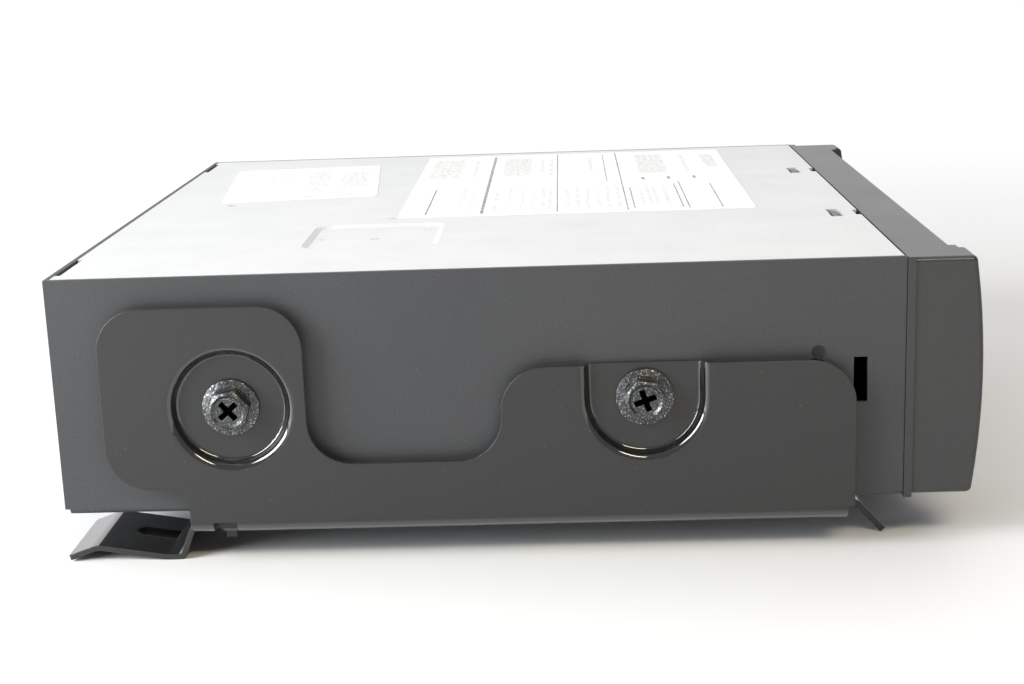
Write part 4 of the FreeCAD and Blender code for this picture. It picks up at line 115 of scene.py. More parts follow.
# %% Finishes
MIX_FACTOR, MIX_FIRST, MIX_SECOND, MIX_COLOUR_OUT = 0, 6, 7, 2


def shade(red, green, blue):
    """A colour as it looks on a screen, 0 to 255, turned into linear light."""
    linear = []
    for level in (red / 255, green / 255, blue / 255):
        linear.append(level / 12.92 if level <= 0.04045 else ((level + 0.055) / 1.055) ** 2.4)
    return (*linear, 1.0)


class Network:
    """A tree of nodes, with short ways to make the usual ones."""

    def __init__(self, tree):
        self.tree = tree
        tree.nodes.clear()

    def feed(self, socket, value):
        if isinstance(value, Wire):
            self.tree.links.new(value.socket, socket)
        else:
            socket.default_value = value

    def node(self, kind, settings=None, values=None, out=0):
        made = self.tree.nodes.new("ShaderNode" + kind)
        for name, value in (settings or {}).items():
            setattr(made, name, value)
        for name, value in (values or {}).items():
            self.feed(made.inputs[name], value)
        return Wire(self, made.outputs[out])

    def place(self, stretch=(1, 1, 1)):
        """The point on the object, in metres, stretched along each way."""
        point = self.node("TexCoord", out="Object")
        return self.node("VectorMath", {"operation": "MULTIPLY"}, {0: point, 1: stretch})

    def noise(self, size, detail, stretch=(1, 1, 1)):
        """Soft random cloud from 0 to 1, with blots of about this size in millimetres."""
        values = {"Vector": self.place(stretch), "Scale": 1 / (size * MM), "Detail": detail}
        return self.node("TexNoise", None, values)

    def step(self, value, low, high):
        """0 below one value, 1 above another, and a straight slope between."""
        values = {"Value": value, "From Min": low, "From Max": high}
        return self.node("MapRange", {"clamp": True}, values)

    def mix(self, factor, first, second):
        """From one colour to another."""
        values = {MIX_FACTOR: factor, MIX_FIRST: first, MIX_SECOND: second}
        return self.node("Mix", {"data_type": "RGBA"}, values, MIX_COLOUR_OUT)


class Finish(Network):
    """A material around one Principled shader."""

    def __init__(self, name, **sockets):
        self.material = bpy.data.materials.new(name)
        self.material.use_nodes = True
        super().__init__(self.material.node_tree)
        self.shader = self.tree.nodes.new("ShaderNodeBsdfPrincipled")
        output = self.tree.nodes.new("ShaderNodeOutputMaterial")
        self.tree.links.new(self.shader.outputs[0], output.inputs["Surface"])
        self.set(**sockets)

    def set(self, **sockets):
        """Set or link sockets of the shader, with _ for a space in their names."""
        for name, value in sockets.items():
            self.feed(self.shader.inputs[name.replace("_", " ")], value)

    def bump(self, height, depth, rim=None):
        """Raise by a height from 0 to 1, that deep in millimetres, and soften rims that wide."""
        values = {"Height": height, "Distance": depth * MM, "Strength": 1.0}
        if rim:
            values["Normal"] = self.node("Bevel", {"samples": 6}, {"Radius": rim * MM})
        self.set(Normal=self.node("Bump", None, values))
        return self


print("a mid grey in linear light:", shade(128, 128, 128)[0])

# %% [markdown]
# The tray, its rear panel and its front plate are sheet steel with a dark zinc coat. From near it is a
# dark grey with a fine sparkle, and a hand or a cloth has left faint lighter clouds on it. A small
# noise picks out the sparkling grains, and a large one makes the clouds. A little bump keeps
# reflections from being mirror-flat.

# %% Dark zinc sheet
def dark_zinc_sheet():
    steel = Finish("dark_zinc_sheet", Metallic=0.35, IOR=1.5)
    cloud = steel.noise(45, 3)
    grain = steel.noise(0.32, 1)
    speck = steel.step(steel.noise(0.25, 1), 0.68, 0.78)
    coat = steel.mix(cloud, shade(64, 65, 67), shade(76, 77, 79))
    coat = steel.mix(grain * 0.6, coat, shade(52, 52, 55))
    steel.set(Base_Color=steel.mix(speck * 0.3, coat, shade(168, 170, 176)))
    steel.set(Roughness=0.42 + grain * 0.16)
    return steel.bump(grain, 0.02).material


DARK_ZINC = dark_zinc_sheet()
print("made", DARK_ZINC.name)

# %% [markdown]
# The lid and the mechanism's pressings are bare galvanised steel. The zinc is rolled, so its faint
# lines run along the sheet, and handling leaves slightly duller patches. The same noise, stretched
# along the sheet, draws the rolling lines. On the lid a thin white bloom has grown over the zinc, as it
# does with age, so the lid stays pale from every side.

# %% Galvanised sheet
def galvanised_sheet(name, light, dark, along, bare):
    """Zinc-coated sheet: bare is 1 for clean metal and less where a pale bloom covers it."""
    zinc = Finish(name, Metallic=bare, IOR=1.5)
    lines = zinc.noise(0.5, 2, along)
    patch = zinc.noise(14, 4)
    fleck = zinc.step(zinc.noise(1.1, 2), 0.67, 0.75)
    tone = zinc.mix(patch, light, dark)
    tone = zinc.mix(lines * 0.25, tone, dark)
    zinc.set(Base_Color=zinc.mix(fleck * 0.3, tone, shade(150, 152, 156)))
    zinc.set(Roughness=0.42 + patch * 0.14)
    return zinc.bump(lines, 0.006).material


LID_ZINC = galvanised_sheet(
    "bare_zinc_lid", shade(220, 221, 221), shade(204, 205, 206), along=(1, 0.05, 1), bare=0.35
)
FRAME_ZINC = galvanised_sheet(
    "bare_zinc_frame", shade(224, 226, 228), shade(190, 193, 196), along=(0.05, 1, 1), bare=0.9
)
print("made", LID_ZINC.name, "and", FRAME_ZINC.name)

# %% [markdown]
# The side brackets are pressed steel, dipped in black paint. On the flat parts the paint has dried to a
# fine satin, and a little dust lies on it. On the walls of the hollows and the bends the paint is
# glossy and mirrors the lamps, and its colour is darker there: painted shade for the hollows and bends.
# How much a surface faces sideways tells the two apart. The sheared rims are slightly rounded and catch
# the light, so a Bevel node bends the light over each rim without changing its shape.

# %% Black paint
RIM_ROUND = 0.35
WALL, FACE = 0.88, 0.985


def black_paint():
    paint = Finish("black_paint", IOR=1.5, Coat_IOR=1.6, Coat_Roughness=0.06)
    dust = paint.step(paint.noise(0.55, 2), 0.7, 0.77)
    haze = paint.noise(26, 3)
    grain = paint.noise(0.4, 1)
    sideways = paint.node("SeparateXYZ", None, {0: paint.node("TexCoord", out="Normal")}, "X")
    flat = paint.step(sideways * sideways, WALL, FACE)
    # The walls and bends get a darker black than the flat parts: painted shade.
    black = paint.mix(flat, shade(18, 18, 18), shade(37, 37, 38))
    black = paint.mix(haze * 0.3, black, shade(46, 46, 47))
    paint.set(Base_Color=paint.mix(dust * 0.16, black, shade(150, 148, 144)))
    paint.set(Roughness=0.07 + flat * (0.22 + grain * 0.12), Coat_Weight=1 - flat)
    return paint.bump(grain * flat, 0.01, RIM_ROUND).material


BLACK_PAINT = black_paint()
print("made", BLACK_PAINT.name)

# %% [markdown]
# The bracket screws are steel with a dark plating. They are rolled and pressed, never polished, so
# their washer faces are covered in small dents. A rough noise in the height and in the roughness gives
# many tiny facets that catch the lamps, and bright specks painted into the colour add painted glints,
# stronger near the rim of the washer as a painted highlight there. The bottom of the cross is painted
# black as painted shade in the recess. Both are found from the distance to the nearest screw's axis,
# and the cross also from how far out from the middle of the player a point lies. The pairs below are
# where such a part starts and where it is full.

# %% Dark plated screws
SCREW_HEIGHT = 33.3
SCREW_PLACES = (52.4, -31.9)
GLINT_RIM = (5.3, 5.7)
CROSS_EDGE = (2.6, 2.5)
CROSS_DEPTH = (93.7, 93.5)
DENT_DEEP = 0.12
WASHER_ROUND = 0.2


def dark_plating():
    plate = Finish("dark_plating", Metallic=1.0)
    axes = []
    for place in SCREW_PLACES:
        points = {0: plate.place((0, 1, 1)), 1: (0, place * MM, SCREW_HEIGHT * MM)}
        axes.append(plate.node("VectorMath", {"operation": "DISTANCE"}, points, "Value"))
    away = axes[0].sum("MINIMUM", *axes)
    across = plate.node("SeparateXYZ", None, {0: plate.place()}, "X")
    sunk = plate.step(across * across, *[(out * MM) ** 2 for out in CROSS_DEPTH])
    # The black bottom of the cross is painted shade in the recess.
    cross = sunk * plate.step(away, *[edge * MM for edge in CROSS_EDGE])
    # Near the washer's rim the painted glints grow stronger, a painted highlight on the rim.
    rim = plate.step(away, *[edge * MM for edge in GLINT_RIM])
    dent = plate.noise(0.55, 3)
    # Bright specks in the colour are painted glints.
    painted_glint = plate.step(plate.noise(0.35, 1), 0.56, 0.68)
    tone = plate.mix(dent, shade(44, 45, 47), shade(98, 99, 100))
    tone = plate.mix(painted_glint * (0.35 + rim * 0.5), tone, shade(214, 215, 216))
    plate.set(Base_Color=plate.mix(cross, tone, shade(4, 4, 4)))
    plate.set(Roughness=0.2 + dent * 0.25)
    return plate.bump(dent, DENT_DEEP, WASHER_ROUND).material


DARK_PLATING = dark_plating()
print("made", DARK_PLATING.name)

# %% [markdown]
# Turned, stamped and cast metals differ in tone, in how rough they are and in the grain that their
# making left. One function makes them all: the grain is a noise that can be stretched along the way a
# tool moved. Its numbers are the size of the grain in millimetres, the roughness and the grain's depth
# in millimetres.

# %% Other metals
def metal(name, dark, light, size, roughness, depth, along=(1, 1, 1)):
    made = Finish(name, Metallic=1.0)
    grain = made.noise(size, 3, along)
    stain = made.noise(size * 30, 3)
    tone = made.mix(grain, dark, light)
    made.set(Base_Color=made.mix(stain * 0.35, tone, dark))
    made.set(Roughness=roughness + grain * 0.15)
    return made.bump(grain, depth).material


BRIGHT_STEEL = metal(
    "bright_steel", shade(196, 197, 198), shade(222, 223, 224), 0.25, 0.2, 0.004, along=(0.1, 1, 1)
)
CAST_METAL = metal("cast_aluminium", shade(178, 179, 181), shade(206, 207, 208), 0.6, 0.45, 0.03)
CAST_ZINC = metal("cast_zinc", shade(160, 161, 164), shade(192, 193, 195), 0.5, 0.4, 0.02)
TIN_PLATE = metal("tin_plate", shade(206, 204, 198), shade(228, 226, 220), 1.2, 0.28, 0.006)
TIN_PINS = metal("tin_pins", shade(214, 210, 200), shade(236, 232, 222), 0.3, 0.2, 0.004)
print("made five metals")

# %% [markdown]
# The front is moulded in black plastic with a fine spark-eroded grain, which scatters light and makes
# it look dark grey rather than black. Patches that are touched often are rubbed a little smoother. The
# numbers are again the size of the grain, the roughness and the grain's depth.

# %% Moulded plastics
def moulding(name, dark, light, size, roughness, depth):
    plastic = Finish(name, IOR=1.47)
    grain = plastic.noise(size, 2)
    wear = plastic.noise(20, 3)
    plastic.set(Base_Color=plastic.mix(wear * 0.6 + grain * 0.4, dark, light))
    plastic.set(Roughness=roughness + grain * 0.14 - wear * 0.08)
    return plastic.bump(grain, depth).material


FRONT_BLACK = moulding("front_moulding", shade(45, 46, 47), shade(55, 56, 57), 0.3, 0.27, 0.013)
KEY_BLACK = moulding("key_moulding", shade(42, 43, 44), shade(52, 53, 54), 0.3, 0.4, 0.015)
KNOB_BLACK = moulding("knob_moulding", shade(36, 36, 37), shade(46, 46, 47), 0.35, 0.42, 0.02)
PLAIN_BLACK = moulding("plain_black_plastic", shade(34, 34, 35), shade(44, 44, 45), 0.6, 0.4, 0.01)
WHITE_ACETAL = moulding("white_acetal", shade(222, 219, 208), shade(236, 234, 224), 0.8, 0.3, 0.006)
CHIP_BLACK = moulding("chip_epoxy", shade(40, 40, 42), shade(54, 54, 56), 0.2, 0.55, 0.01)
SLEEVE = moulding("capacitor_sleeve", shade(28, 30, 52), shade(38, 40, 66), 2.0, 0.22, 0.004)
SOFT_RUBBER = moulding("soft_rubber", shade(44, 44, 44), shade(56, 56, 55), 0.5, 0.7, 0.02)
FUSE_RED = moulding("fuse_red", shade(176, 30, 22), shade(196, 42, 30), 3.0, 0.2, 0.002)
print("made nine plastics and rubbers")

# %% [markdown]
# A circuit board is green varnish over copper. The copper tracks under the varnish show as slightly
# lighter green lines, mostly along one way, with bright tinned pads where parts are soldered. The
# joints of a brick texture draw the tracks, a large noise leaves some of the board bare, and a grid of
# dots makes the pads.

# %% Circuit board
def circuit_board():
    board = Finish("green_board", IOR=1.5)
    point = board.place()
    bricks = {"offset": 0.37, "squash": 1.0}
    look = {"Vector": point, "Scale": 200.0, "Mortar Size": 0.09, "Mortar Smooth": 0.1,
            "Brick Width": 2.1, "Row Height": 0.25}
    tracks = board.node("TexBrick", bricks, look, "Fac")
    patch = board.step(board.noise(9, 1), 0.46, 0.5)
    dots = {"Vector": point, "Scale": 330.0, "Randomness": 0.35}
    pad = board.step(board.node("TexVoronoi", {"feature": "F1"}, dots), 0.2, 0.14)
    green = board.mix(tracks * patch, shade(26, 84, 48), shade(46, 116, 66))
    board.set(Base_Color=board.mix(pad, green, shade(196, 196, 188)), Metallic=pad)
    board.set(Roughness=0.3 + pad * 0.1)
    return board.bump(tracks * patch + pad, 0.02).material


GREEN_BOARD = circuit_board()
print("made", GREEN_BOARD.name)

# %% [markdown]
# The display is a dark glass with a faint grid of unlit segments, behind a smoked pane that the eye
# sees as almost black. The pane is a clear dark plastic. The lens of the pickup is clear too.

# %% Panes
def clear_plastic(name, colour, roughness, ior):
    clear = Finish(name, Roughness=roughness, IOR=ior, Transmission_Weight=1.0)
    film = clear.noise(12, 3)
    clear.set(Base_Color=clear.mix(film * 0.2, colour, shade(90, 92, 92)))
    return clear.material


def display_face():
    face = Finish("display_face", Roughness=0.12, IOR=1.5)
    wave = {"Vector": face.place(), "Scale": 320.0}
    bars = face.node("TexWave", {"bands_direction": "X"}, wave, "Fac")
    rows = face.node("TexWave", {"bands_direction": "Z"}, wave, "Fac")
    cell = face.step(bars, 0.6, 0.7) * face.step(rows, 0.6, 0.7)
    face.set(Base_Color=face.mix(cell * 0.5, shade(24, 30, 30), shade(52, 62, 60)))
    return face.material


SMOKED_PANE = clear_plastic("smoked_pane", shade(70, 74, 74), 0.05, 1.49)
LENS_CLEAR = clear_plastic("clear_lens", shade(214, 224, 240), 0.02, 1.52)
DISPLAY_FACE = display_face()
print("made two clear plastics and the display face")

# %% [markdown]
# The flat cable is a white film with flat conductors inside, which show as evenly spaced grey lines.

# %% Flat cable
def flat_cable():
    film = Finish("flat_cable", Roughness=0.35, IOR=1.5)
    wave = {"Vector": film.place(), "Scale": 157.0}
    lines = film.node("TexWave", {"bands_direction": "X"}, wave, "Fac")
    wire = film.step(lines, 0.45, 0.6)
    film.set(Base_Color=film.mix(wire * 0.6, shade(232, 232, 228), shade(170, 172, 176)))
    return film.bump(wire, 0.05).material


FLAT_CABLE = flat_cable()
print("made", FLAT_CABLE.name)

# %% [markdown]
# Each solid now gets its finish. A dictionary says which finish goes to which pieces, so that a piece
# that is missing from it is noticed at once.

# %% Finishes on the solids
keys = ["mode_button", "power_button", "eject_button", "seek_rocker"]
keys += [f"preset_button_{number}" for number in range(1, 7)]
worn_by = {
    DARK_ZINC: ["chassis_frame", "rear_panel", "front_plate"],
    LID_ZINC: ["top_cover"],
    FRAME_ZINC: ["mech_frame", "mech_deck", "clamp_arm", "roller_carriage"],
    BLACK_PAINT: ["bracket_left", "bracket_right"],
    DARK_PLATING: ["bracket_screws", "small_screws"],
    FRONT_BLACK: ["fascia"],
    KEY_BLACK: keys,
    KNOB_BLACK: ["volume_knob", "tune_knob"],
    SMOKED_PANE: ["display_window"],
    DISPLAY_FACE: ["display_module"],
    GREEN_BOARD: ["front_board", "main_board", "mech_board"],
    PLAIN_BLACK: [
        "tact_switches", "harness_connector", "disc_guide", "slot_shutter", "turntable", "clamper",
    ],
    CAST_ZINC: ["rotary_encoders"],
    TIN_PLATE: ["tuner_module", "antenna_socket"],
    TIN_PINS: ["connector_pins"],
    SLEEVE: ["capacitors"],
    CHIP_BLACK: ["logic_chips", "power_amplifier"],
    CAST_METAL: ["heat_sink", "pickup_sled"],
    FUSE_RED: ["fuse"],
    BRIGHT_STEEL: [
        "rear_stud", "spindle_motor", "sled_motor", "guide_rod", "lead_screw", "loading_motor",
    ],
    FLAT_CABLE: ["ribbon_cable"],
    SOFT_RUBBER: ["dampers", "roller_sleeves"],
    LENS_CLEAR: ["objective_lens"],
    WHITE_ACETAL: ["loading_pinion", "idler_gear", "loading_roller"],
}
for finish, names in worn_by.items():
    for name in names:
        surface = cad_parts[name].data
        surface.materials.clear()
        surface.materials.append(finish)
dressed = {name for names in worn_by.values() for name in names}
print("dressed", len(dressed), "solids, left over:", sorted(set(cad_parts) - dressed))

# %% [markdown]
# Two paper labels are stuck on the lid. They are modelled as thin sheets with rounded corners, standing
# proud of the lid by a tenth of a millimetre. What is printed on them is only suggested: ruled lines
# and pale grey bars where a real label has its lines of type.

# %% Label paper
def paper():
    sheet = Finish("label_paper", Roughness=0.55, IOR=1.45)
    fibre = sheet.noise(0.4, 3)
    stain = sheet.noise(16, 3)
    tone = sheet.mix(stain * 0.5, shade(244, 244, 244), shade(234, 234, 233))
    sheet.set(Base_Color=sheet.mix(fibre * 0.15, tone, shade(228, 228, 226)))
    return sheet.bump(fibre, 0.01).material


LABEL_PAPER = paper()
print("made", LABEL_PAPER.name)

# %% [markdown]
# Everything that this lesson adds to the player is thin and flat: paper, ink or a printed mark. All but
# the numbers on the keys are made of slabs. A slab is the space between an outline and the same outline
# a little further out, closed by faces. The finished form becomes an object with one finish, which then
# rides on a body of the player and moves with it.

# %% Thin slabs
def slab(form, lower, upper):
    """Close the space between two outlines that have equally many corners."""
    low = [form.verts.new(spot) for spot in lower]
    high = [form.verts.new(spot) for spot in upper]
    form.faces.new(high)
    form.faces.new(low[::-1])
    for side in range(len(low)):
        after = (side + 1) % len(low)
        form.faces.new([low[side], low[after], high[after], high[side]])
    bmesh.ops.recalc_face_normals(form, faces=form.faces)


def piece_of(name, form, finish):
    """An object made of the finished form."""
    mesh = bpy.data.meshes.new(name)
    form.to_mesh(mesh)
    form.free()
    mesh.materials.append(finish)
    piece = bpy.data.objects.new(name, mesh)
    bpy.context.scene.collection.objects.link(piece)
    return piece


print("slabs have two outlines and a rim")

# %% [markdown]
# A sheet of paper is one slab. Its corners are rounded by replacing each with a short arc. The corners
# are given on the lid, in millimetres from the lid's rear edge and from its middle line, the way they
# were read off the photograph.

# %% Flat sheets on the lid
REAR = 89.1
LID_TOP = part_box("top_cover")[1].z
ARC_PARTS = 4


def rounded(corners, radius):
    """The corners of a flat outline, each replaced by a short arc."""
    points = []
    count = len(corners)
    for index, corner in enumerate(corners):
        here = Vector(corner)
        before = (Vector(corners[index - 1]) - here).normalized()
        after = (Vector(corners[(index + 1) % count]) - here).normalized()
        half_angle = before.angle(after) / 2
        reach = radius / math.tan(half_angle)
        centre = here + (before + after).normalized() * (radius / math.sin(half_angle))
        first, last = here + before * reach - centre, here + after * reach - centre
        for part in range(ARC_PARTS + 1):
            points.append(centre + first.slerp(last, part / ARC_PARTS).normalized() * radius)
    return points


def sheet_of(name, outline, low, thick, finish):
    """A thin flat piece over an outline given in metres."""
    form = bmesh.new()
    slab(form, [(*point, low) for point in outline], [(*point, low + thick) for point in outline])
    piece = piece_of(name, form, finish)
    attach(piece, "chassis")


def on_lid(depth, across):
    return Vector((across * MM, (REAR - depth) * MM))


SMALL_LABEL = [on_lid(11.5, 66.3), on_lid(52.3, 69.2), on_lid(57.4, 11.5), on_lid(17.8, 7.3)]
LARGE_LABEL = [on_lid(66, 82.5), on_lid(151, 82.5), on_lid(151, -24.5), on_lid(66, -24.5)]
SMALL_ROUND = 1.5 * MM
LARGE_ROUND = 1.0 * MM
LABEL_THICK = 0.1 * MM
sheet_of("small_label", rounded(SMALL_LABEL, SMALL_ROUND), LID_TOP, LABEL_THICK, LABEL_PAPER)
sheet_of("large_label", rounded(LARGE_LABEL, LARGE_ROUND), LID_TOP, LABEL_THICK, LABEL_PAPER)
print("small label", round((SMALL_LABEL[0] - SMALL_LABEL[3]).length / MM), "mm long")

# %% [markdown]
# The print on the labels is a set of very thin bars, joined into one mesh for each ink. Each bar is
# given by where it lies on its label: how far along and how far across, from 0 to 1, so the bars follow
# a label that is stuck on at a slant. Dark ink draws the ruled lines. Pale ink fills the blocks and the
# rows of type.

# %% Label print
def print_ink(name, tone, worn):
    """Ink that has worn thin in specks, so that the paper shows through."""
    ink = Finish(name, Roughness=0.5)
    speck = ink.step(ink.noise(0.9, 3), 0.42, 0.6)
    ink.set(Base_Color=ink.mix(speck * worn, shade(tone, tone, tone), shade(240, 240, 240)))
    return ink.material


BAR_THICK = 0.02 * MM


def bars(name, label, places, finish, low=LID_TOP + LABEL_THICK):
    """Thin bars on a label, each (along from, along to, across from, across to)."""
    form = bmesh.new()
    for first, last, left, right in places:
        corners = [(first, left), (last, left), (last, right), (first, right)]
        flat = []
        for along, across in corners:
            rear = label[0].lerp(label[3], across)
            front = label[1].lerp(label[2], across)
            flat.append(rear.lerp(front, along))
        slab(form, [(*point, low) for point in flat], [(*point, low + BAR_THICK) for point in flat])
    piece = piece_of(name, form, finish)
    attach(piece, "chassis")


RULE_INK = print_ink("rule_ink", 118, 0.35)
PALE_INK = print_ink("pale_ink", 206, 0.85)
rules = [
    (0.073, 0.078, 0.6, 0.98), (0.229, 0.238, 0.03, 0.98), (0.445, 0.449, 0.01, 0.98),
    (0.6, 0.603, 0.04, 0.54), (0.644, 0.648, 0.01, 0.99), (0.664, 0.668, 0.66, 0.96),
    (0.8, 0.804, 0.61, 0.97), (0.817, 0.821, 0.58, 0.98), (0.909, 0.913, 0.63, 0.98),
    (0.71, 0.72, 0.49, 0.53), (0.79, 0.8, 0.49, 0.53), (0.87, 0.88, 0.49, 0.53),
]
blocks = [
    (0.03, 0.13, 0.07, 0.42), (0.27, 0.36, 0.07, 0.4), (0.71, 0.8, 0.07, 0.42), (0.93, 0.97, 0.1, 0.34),
]
TYPE_HIGH = 0.012
right_rows = [0.16, 0.19, 0.26, 0.3, 0.34, 0.37, 0.4, 0.42, 0.47, 0.5]
right_rows += [0.53, 0.56, 0.59, 0.62, 0.69, 0.71, 0.73, 0.76]
left_rows = [0.17, 0.39, 0.42, 0.55, 0.86]
type_rows = []
for row, along in enumerate(right_rows):
    type_rows.append((along, along + TYPE_HIGH, 0.62 + 0.03 * (row % 3), 0.95))
for row, along in enumerate(left_rows):
    type_rows.append((along, along + TYPE_HIGH, 0.1, 0.4 - 0.05 * (row % 2)))
bars("large_label_rules", LARGE_LABEL, rules, RULE_INK)
bars("large_label_type", LARGE_LABEL, blocks + type_rows, PALE_INK)
small_blocks = [(0.52, 0.66, 0.14, 0.86), (0.74, 0.93, 0.2, 0.72)]
small_rows = [(0.12 + 0.07 * row, 0.135 + 0.07 * row, 0.2, 0.5 + 0.1 * (row % 3)) for row in range(5)]
bars("small_label_type", SMALL_LABEL, small_blocks + small_rows, PALE_INK)
bars("small_label_rules", SMALL_LABEL, [(0.5, 0.64, 0.93, 0.94), (0.72, 0.94, 0.93, 0.94)], RULE_INK)
print("printed", len(rules), "rules and", len(blocks + type_rows), "pale bars")

# %% [markdown]
# A few dark scuffs lie on the lid and in its sunk pad. They are bars too, but they belong to no label,
# so their places are parts of a square on the lid with sides of 100 millimetres.

# %% Scuffs
SCUFF_INK = print_ink("scuff_dirt", 84, 0.6)
PAD_DEPTH = 0.6 * MM
SQUARE = [on_lid(0, 0), on_lid(100, 0), on_lid(100, -100), on_lid(0, -100)]
lid_scuffs = [(0.204, 0.224, -0.024, -0.013), (0.636, 0.658, 0.247, 0.252)]
pad_scuffs = [(0.507, 0.514, 0.474, 0.482), (0.621, 0.641, 0.482, 0.486), (0.732, 0.752, 0.376, 0.38)]
bars("lid_scuffs", SQUARE, lid_scuffs, SCUFF_INK, LID_TOP)
bars("pad_scuffs", SQUARE, pad_scuffs, SCUFF_INK, LID_TOP - PAD_DEPTH)
print("scuffs:", len(lid_scuffs), "on the lid and", len(pad_scuffs), "in the pad")

# %% [markdown]
# The keys are marked so that they can be used: plain numbers on the six station keys, an open ring with
# a stroke for power, a triangle over a bar for eject, a closed ring for mode and two arrowheads on the
# rocker. They are printed, so each is a flat form hardly thicker than paint. Numbers come from text
# objects. The signs are drawn as outlines, in millimetres from the middle of their key, and a ray from
# the front finds how far forward the key's face lies under each corner, so a sign follows a hollow or
# rounded face.

# %% Marks on the keys
def mark_white():
    mark = Finish("mark_white", Roughness=0.45)
    rub = mark.noise(1.5, 3)
    mark.set(Base_Color=mark.mix(rub, shade(214, 215, 214), shade(190, 191, 190)))
    return mark.material


MARK_WHITE = mark_white()
INK_THICK = 0.03 * MM
NUMBER_SIZE = 4.2 * MM
IN_FRONT = -1.0


def front_at(node, x, z):
    """How far forward the face of a solid is at one place, found with a ray."""
    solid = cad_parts[node]
    start = solid.matrix_world.inverted() @ Vector((x, IN_FRONT, z))
    return (solid.matrix_world @ solid.ray_cast(start, (0, 1, 0))[1]).y


def centre_of(node):
    low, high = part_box(node)
    return (low + high) / 2


def mark(name, key, outlines):
    """Flat outlines, in millimetres from the middle of a key, printed on its front."""
    centre = centre_of(key)
    form = bmesh.new()
    for outline in outlines:
        places = [(centre.x + across * MM, centre.z + up * MM) for across, up in outline]
        rear = [(x, front_at(key, x, z), z) for x, z in places]
        slab(form, rear, [(x, y - INK_THICK, z) for x, y, z in rear])
    piece = piece_of(name, form, MARK_WHITE)
    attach(piece, key)


def ring(inner, outer, first, last, steps=24):
    """Part of a flat ring as a row of four-sided outlines, angles in degrees from the top."""
    outlines = []
    for step in range(steps):
        turns = [math.radians(first + (last - first) * (step + end) / steps) for end in (0, 1)]
        near = [(inner * math.sin(turn), inner * math.cos(turn)) for turn in turns]
        far = [(outer * math.sin(turn), outer * math.cos(turn)) for turn in turns[::-1]]
        outlines.append(near + far)
    return outlines


def bar(up, wide, high):
    """An oblong, given by half its width and half its height."""
    return [(-wide, up - high), (wide, up - high), (wide, up + high), (-wide, up + high)]


def arrow(up, wide, high):
    """A triangle, given by half its width and half its height, below 0 to point down."""
    return [(-wide, up - high), (wide, up - high), (0, up + high)]


for number in range(1, 7):
    body = f"preset_button_{number}"
    centre = centre_of(body)
    words = bpy.data.curves.new(f"number_{number}", "FONT")
    words.body = str(number)
    words.size = NUMBER_SIZE
    words.extrude = INK_THICK / 2
    words.align_x = "CENTER"
    words.align_y = "CENTER"
    words.materials.append(MARK_WHITE)
    piece = bpy.data.objects.new(f"number_{number}", words)
    piece.location = (centre.x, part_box(body)[0].y - INK_THICK / 2, centre.z)
    piece.rotation_euler = (math.radians(90), 0, 0)
    bpy.context.scene.collection.objects.link(piece)
    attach(piece, body)

signs = [
    ("power_sign", "power_button", ring(1.25, 1.6, 35, 325) + [bar(1.1, 0.18, 0.9)]),
    ("eject_sign", "eject_button", [arrow(0.5, 1.5, 1.0), bar(-1.2, 1.5, 0.22)]),
    ("mode_sign", "mode_button", ring(0.9, 1.25, 0, 360)),
    ("rocker_signs", "seek_rocker", [arrow(4.6, 1.4, 0.8), arrow(-4.6, 1.4, -0.8)]),
]
for name, key, outlines in signs:
    mark(name, key, outlines)
print("marked six keys with numbers and", len(signs), "with signs")

# %% [markdown]
# The table is a wide pale sheet. Only its colour and the shadow on it matter, so it is one large face
# with a faint mottle. What the camera, a mirror or a clear pane shows of it is a plain pale tone that
# glows more and more away from the player, so the table runs into the white behind it.

# %% Table
GLOW_REACH = (0.22, 0.75)
TABLE_CORNERS = [(-3, -4), (9, -4), (9, 4), (-3, 4)]


def table_top():
    top = Finish("white_table", Roughness=0.6, Emission_Strength=1.0)
    mottle = top.noise(60, 4)
    white = top.mix(mottle, shade(236, 237, 238), shade(246, 246, 246))
    kinds = ("Camera", "Glossy", "Transmission")
    rays = [top.node("LightPath", out=f"Is {kind} Ray") for kind in kinds]
    seen = rays[0] + rays[1] + rays[2]
    top.set(Base_Color=top.mix(seen, white, shade(231, 231, 232)))
    distance = top.node("VectorMath", {"operation": "LENGTH"}, {0: top.place()}, "Value")
    glow = top.step(distance, *GLOW_REACH) * seen
    top.set(Emission_Color=top.mix(glow, shade(0, 0, 0), shade(178, 178, 178)))
    return top.material


form = bmesh.new()
form.faces.new([form.verts.new((x, y, 0)) for x, y in TABLE_CORNERS])
table = piece_of("table", form, table_top())
print("table laid")

# %% [markdown]
# The light is that of a small white studio. A sun lamp of very wide angle, high on the far side, is the
# soft daylight on the table and the lid. A large cool lamp on the left, not far above the table, draws
# the wide bright arc in the round hollows of the bracket, and a small warm one high on the right draws
# the short yellow arc. The room on the camera's side is grey, which is what the dark arcs beside them
# show.

# %% Lamps
PLAYER_MIDDLE = Vector((0, 0, 0.03))


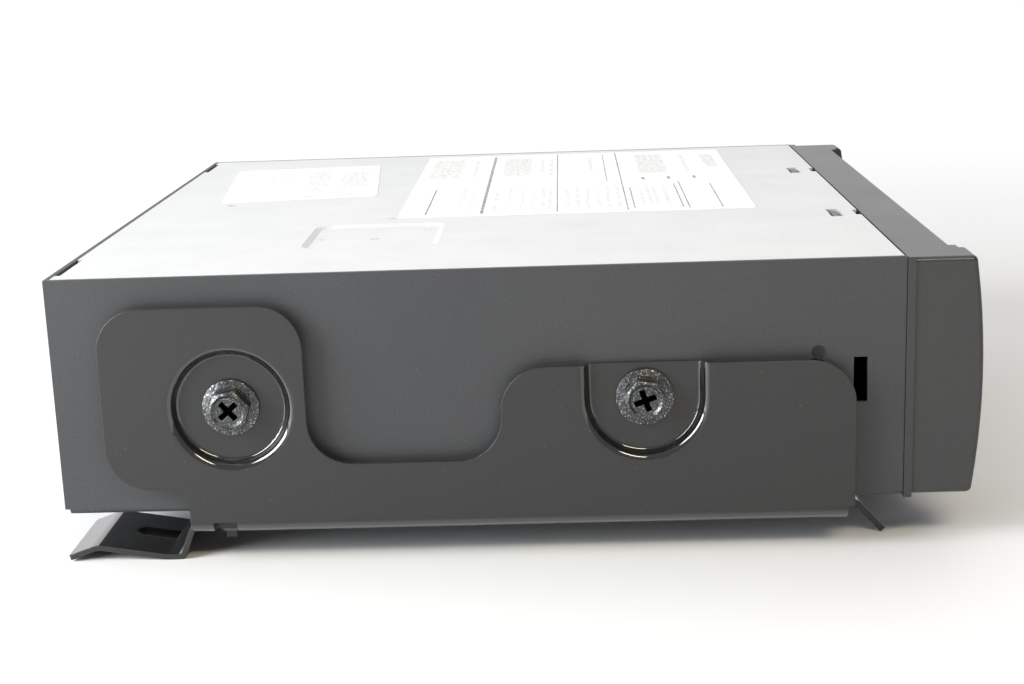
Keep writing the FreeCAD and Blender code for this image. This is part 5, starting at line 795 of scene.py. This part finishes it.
def lamp(name, place, size, power, colour):
    """A rectangular lamp, wide and high in metres, that looks at the middle of the player."""
    data = bpy.data.lights.new(name, "AREA")
    data.shape = "RECTANGLE"
    data.size, data.size_y = size
    data.energy = power
    data.color = colour
    made = bpy.data.objects.new(name, data)
    made.location = place
    toward = PLAYER_MIDDLE - Vector(place)
    made.rotation_euler = toward.to_track_quat("-Z", "Y").to_euler()
    bpy.context.scene.collection.objects.link(made)


lamp("cool_side_lamp", (-0.34, 0.56, 0.28), (0.36, 0.5), 8.3, (0.94, 0.98, 1.0))
lamp("warm_side_lamp", (-0.63, -0.25, 0.63), (0.4, 0.12), 2.8, (1.0, 0.88, 0.66))
day = bpy.data.lights.new("soft_daylight", "SUN")
day.angle = math.radians(75)
day.energy = 0.72
daylight = bpy.data.objects.new("soft_daylight", day)
daylight.rotation_euler = (math.radians(-8), math.radians(22), 0)
bpy.context.scene.collection.objects.link(daylight)
print("three lamps lit")

# %% [markdown]
# The world around the table is a soft slope of light, white low down and on the far side, grey above
# the camera. What the camera sees directly is plain white, and three tenths of that white are mixed
# into what shiny surfaces mirror.

# %% World
SLOPE = (-0.75, 0.35)
MIRRORED_WHITE = 0.3
world = bpy.data.worlds.new("studio")
bpy.context.scene.world = world
world.use_nodes = True
sky = Network(world.node_tree)
direction = sky.node("TexCoord", out="Generated")
far, side, high = [sky.node("SeparateXYZ", None, {0: direction}, letter) for letter in "XYZ"]
bright = sky.step(far * 0.85 + side * 0.4 - high * 0.5, *SLOPE)
room = sky.mix(bright, shade(98, 99, 101), shade(247, 247, 249))
mirrored = sky.node("LightPath", out="Is Glossy Ray") * MIRRORED_WHITE
shown = sky.node("LightPath", out="Is Camera Ray") + mirrored
light = sky.node("Background", None, {"Color": sky.mix(shown, room, shade(255, 255, 255))})
sky.feed(sky.tree.nodes.new("ShaderNodeOutputWorld").inputs["Surface"], light)
print("world set")

# %% [markdown]
# Last, the picture is shown as the lights give it, without a film look.

# %% Finish
bpy.context.scene.view_settings.view_transform = "Standard"
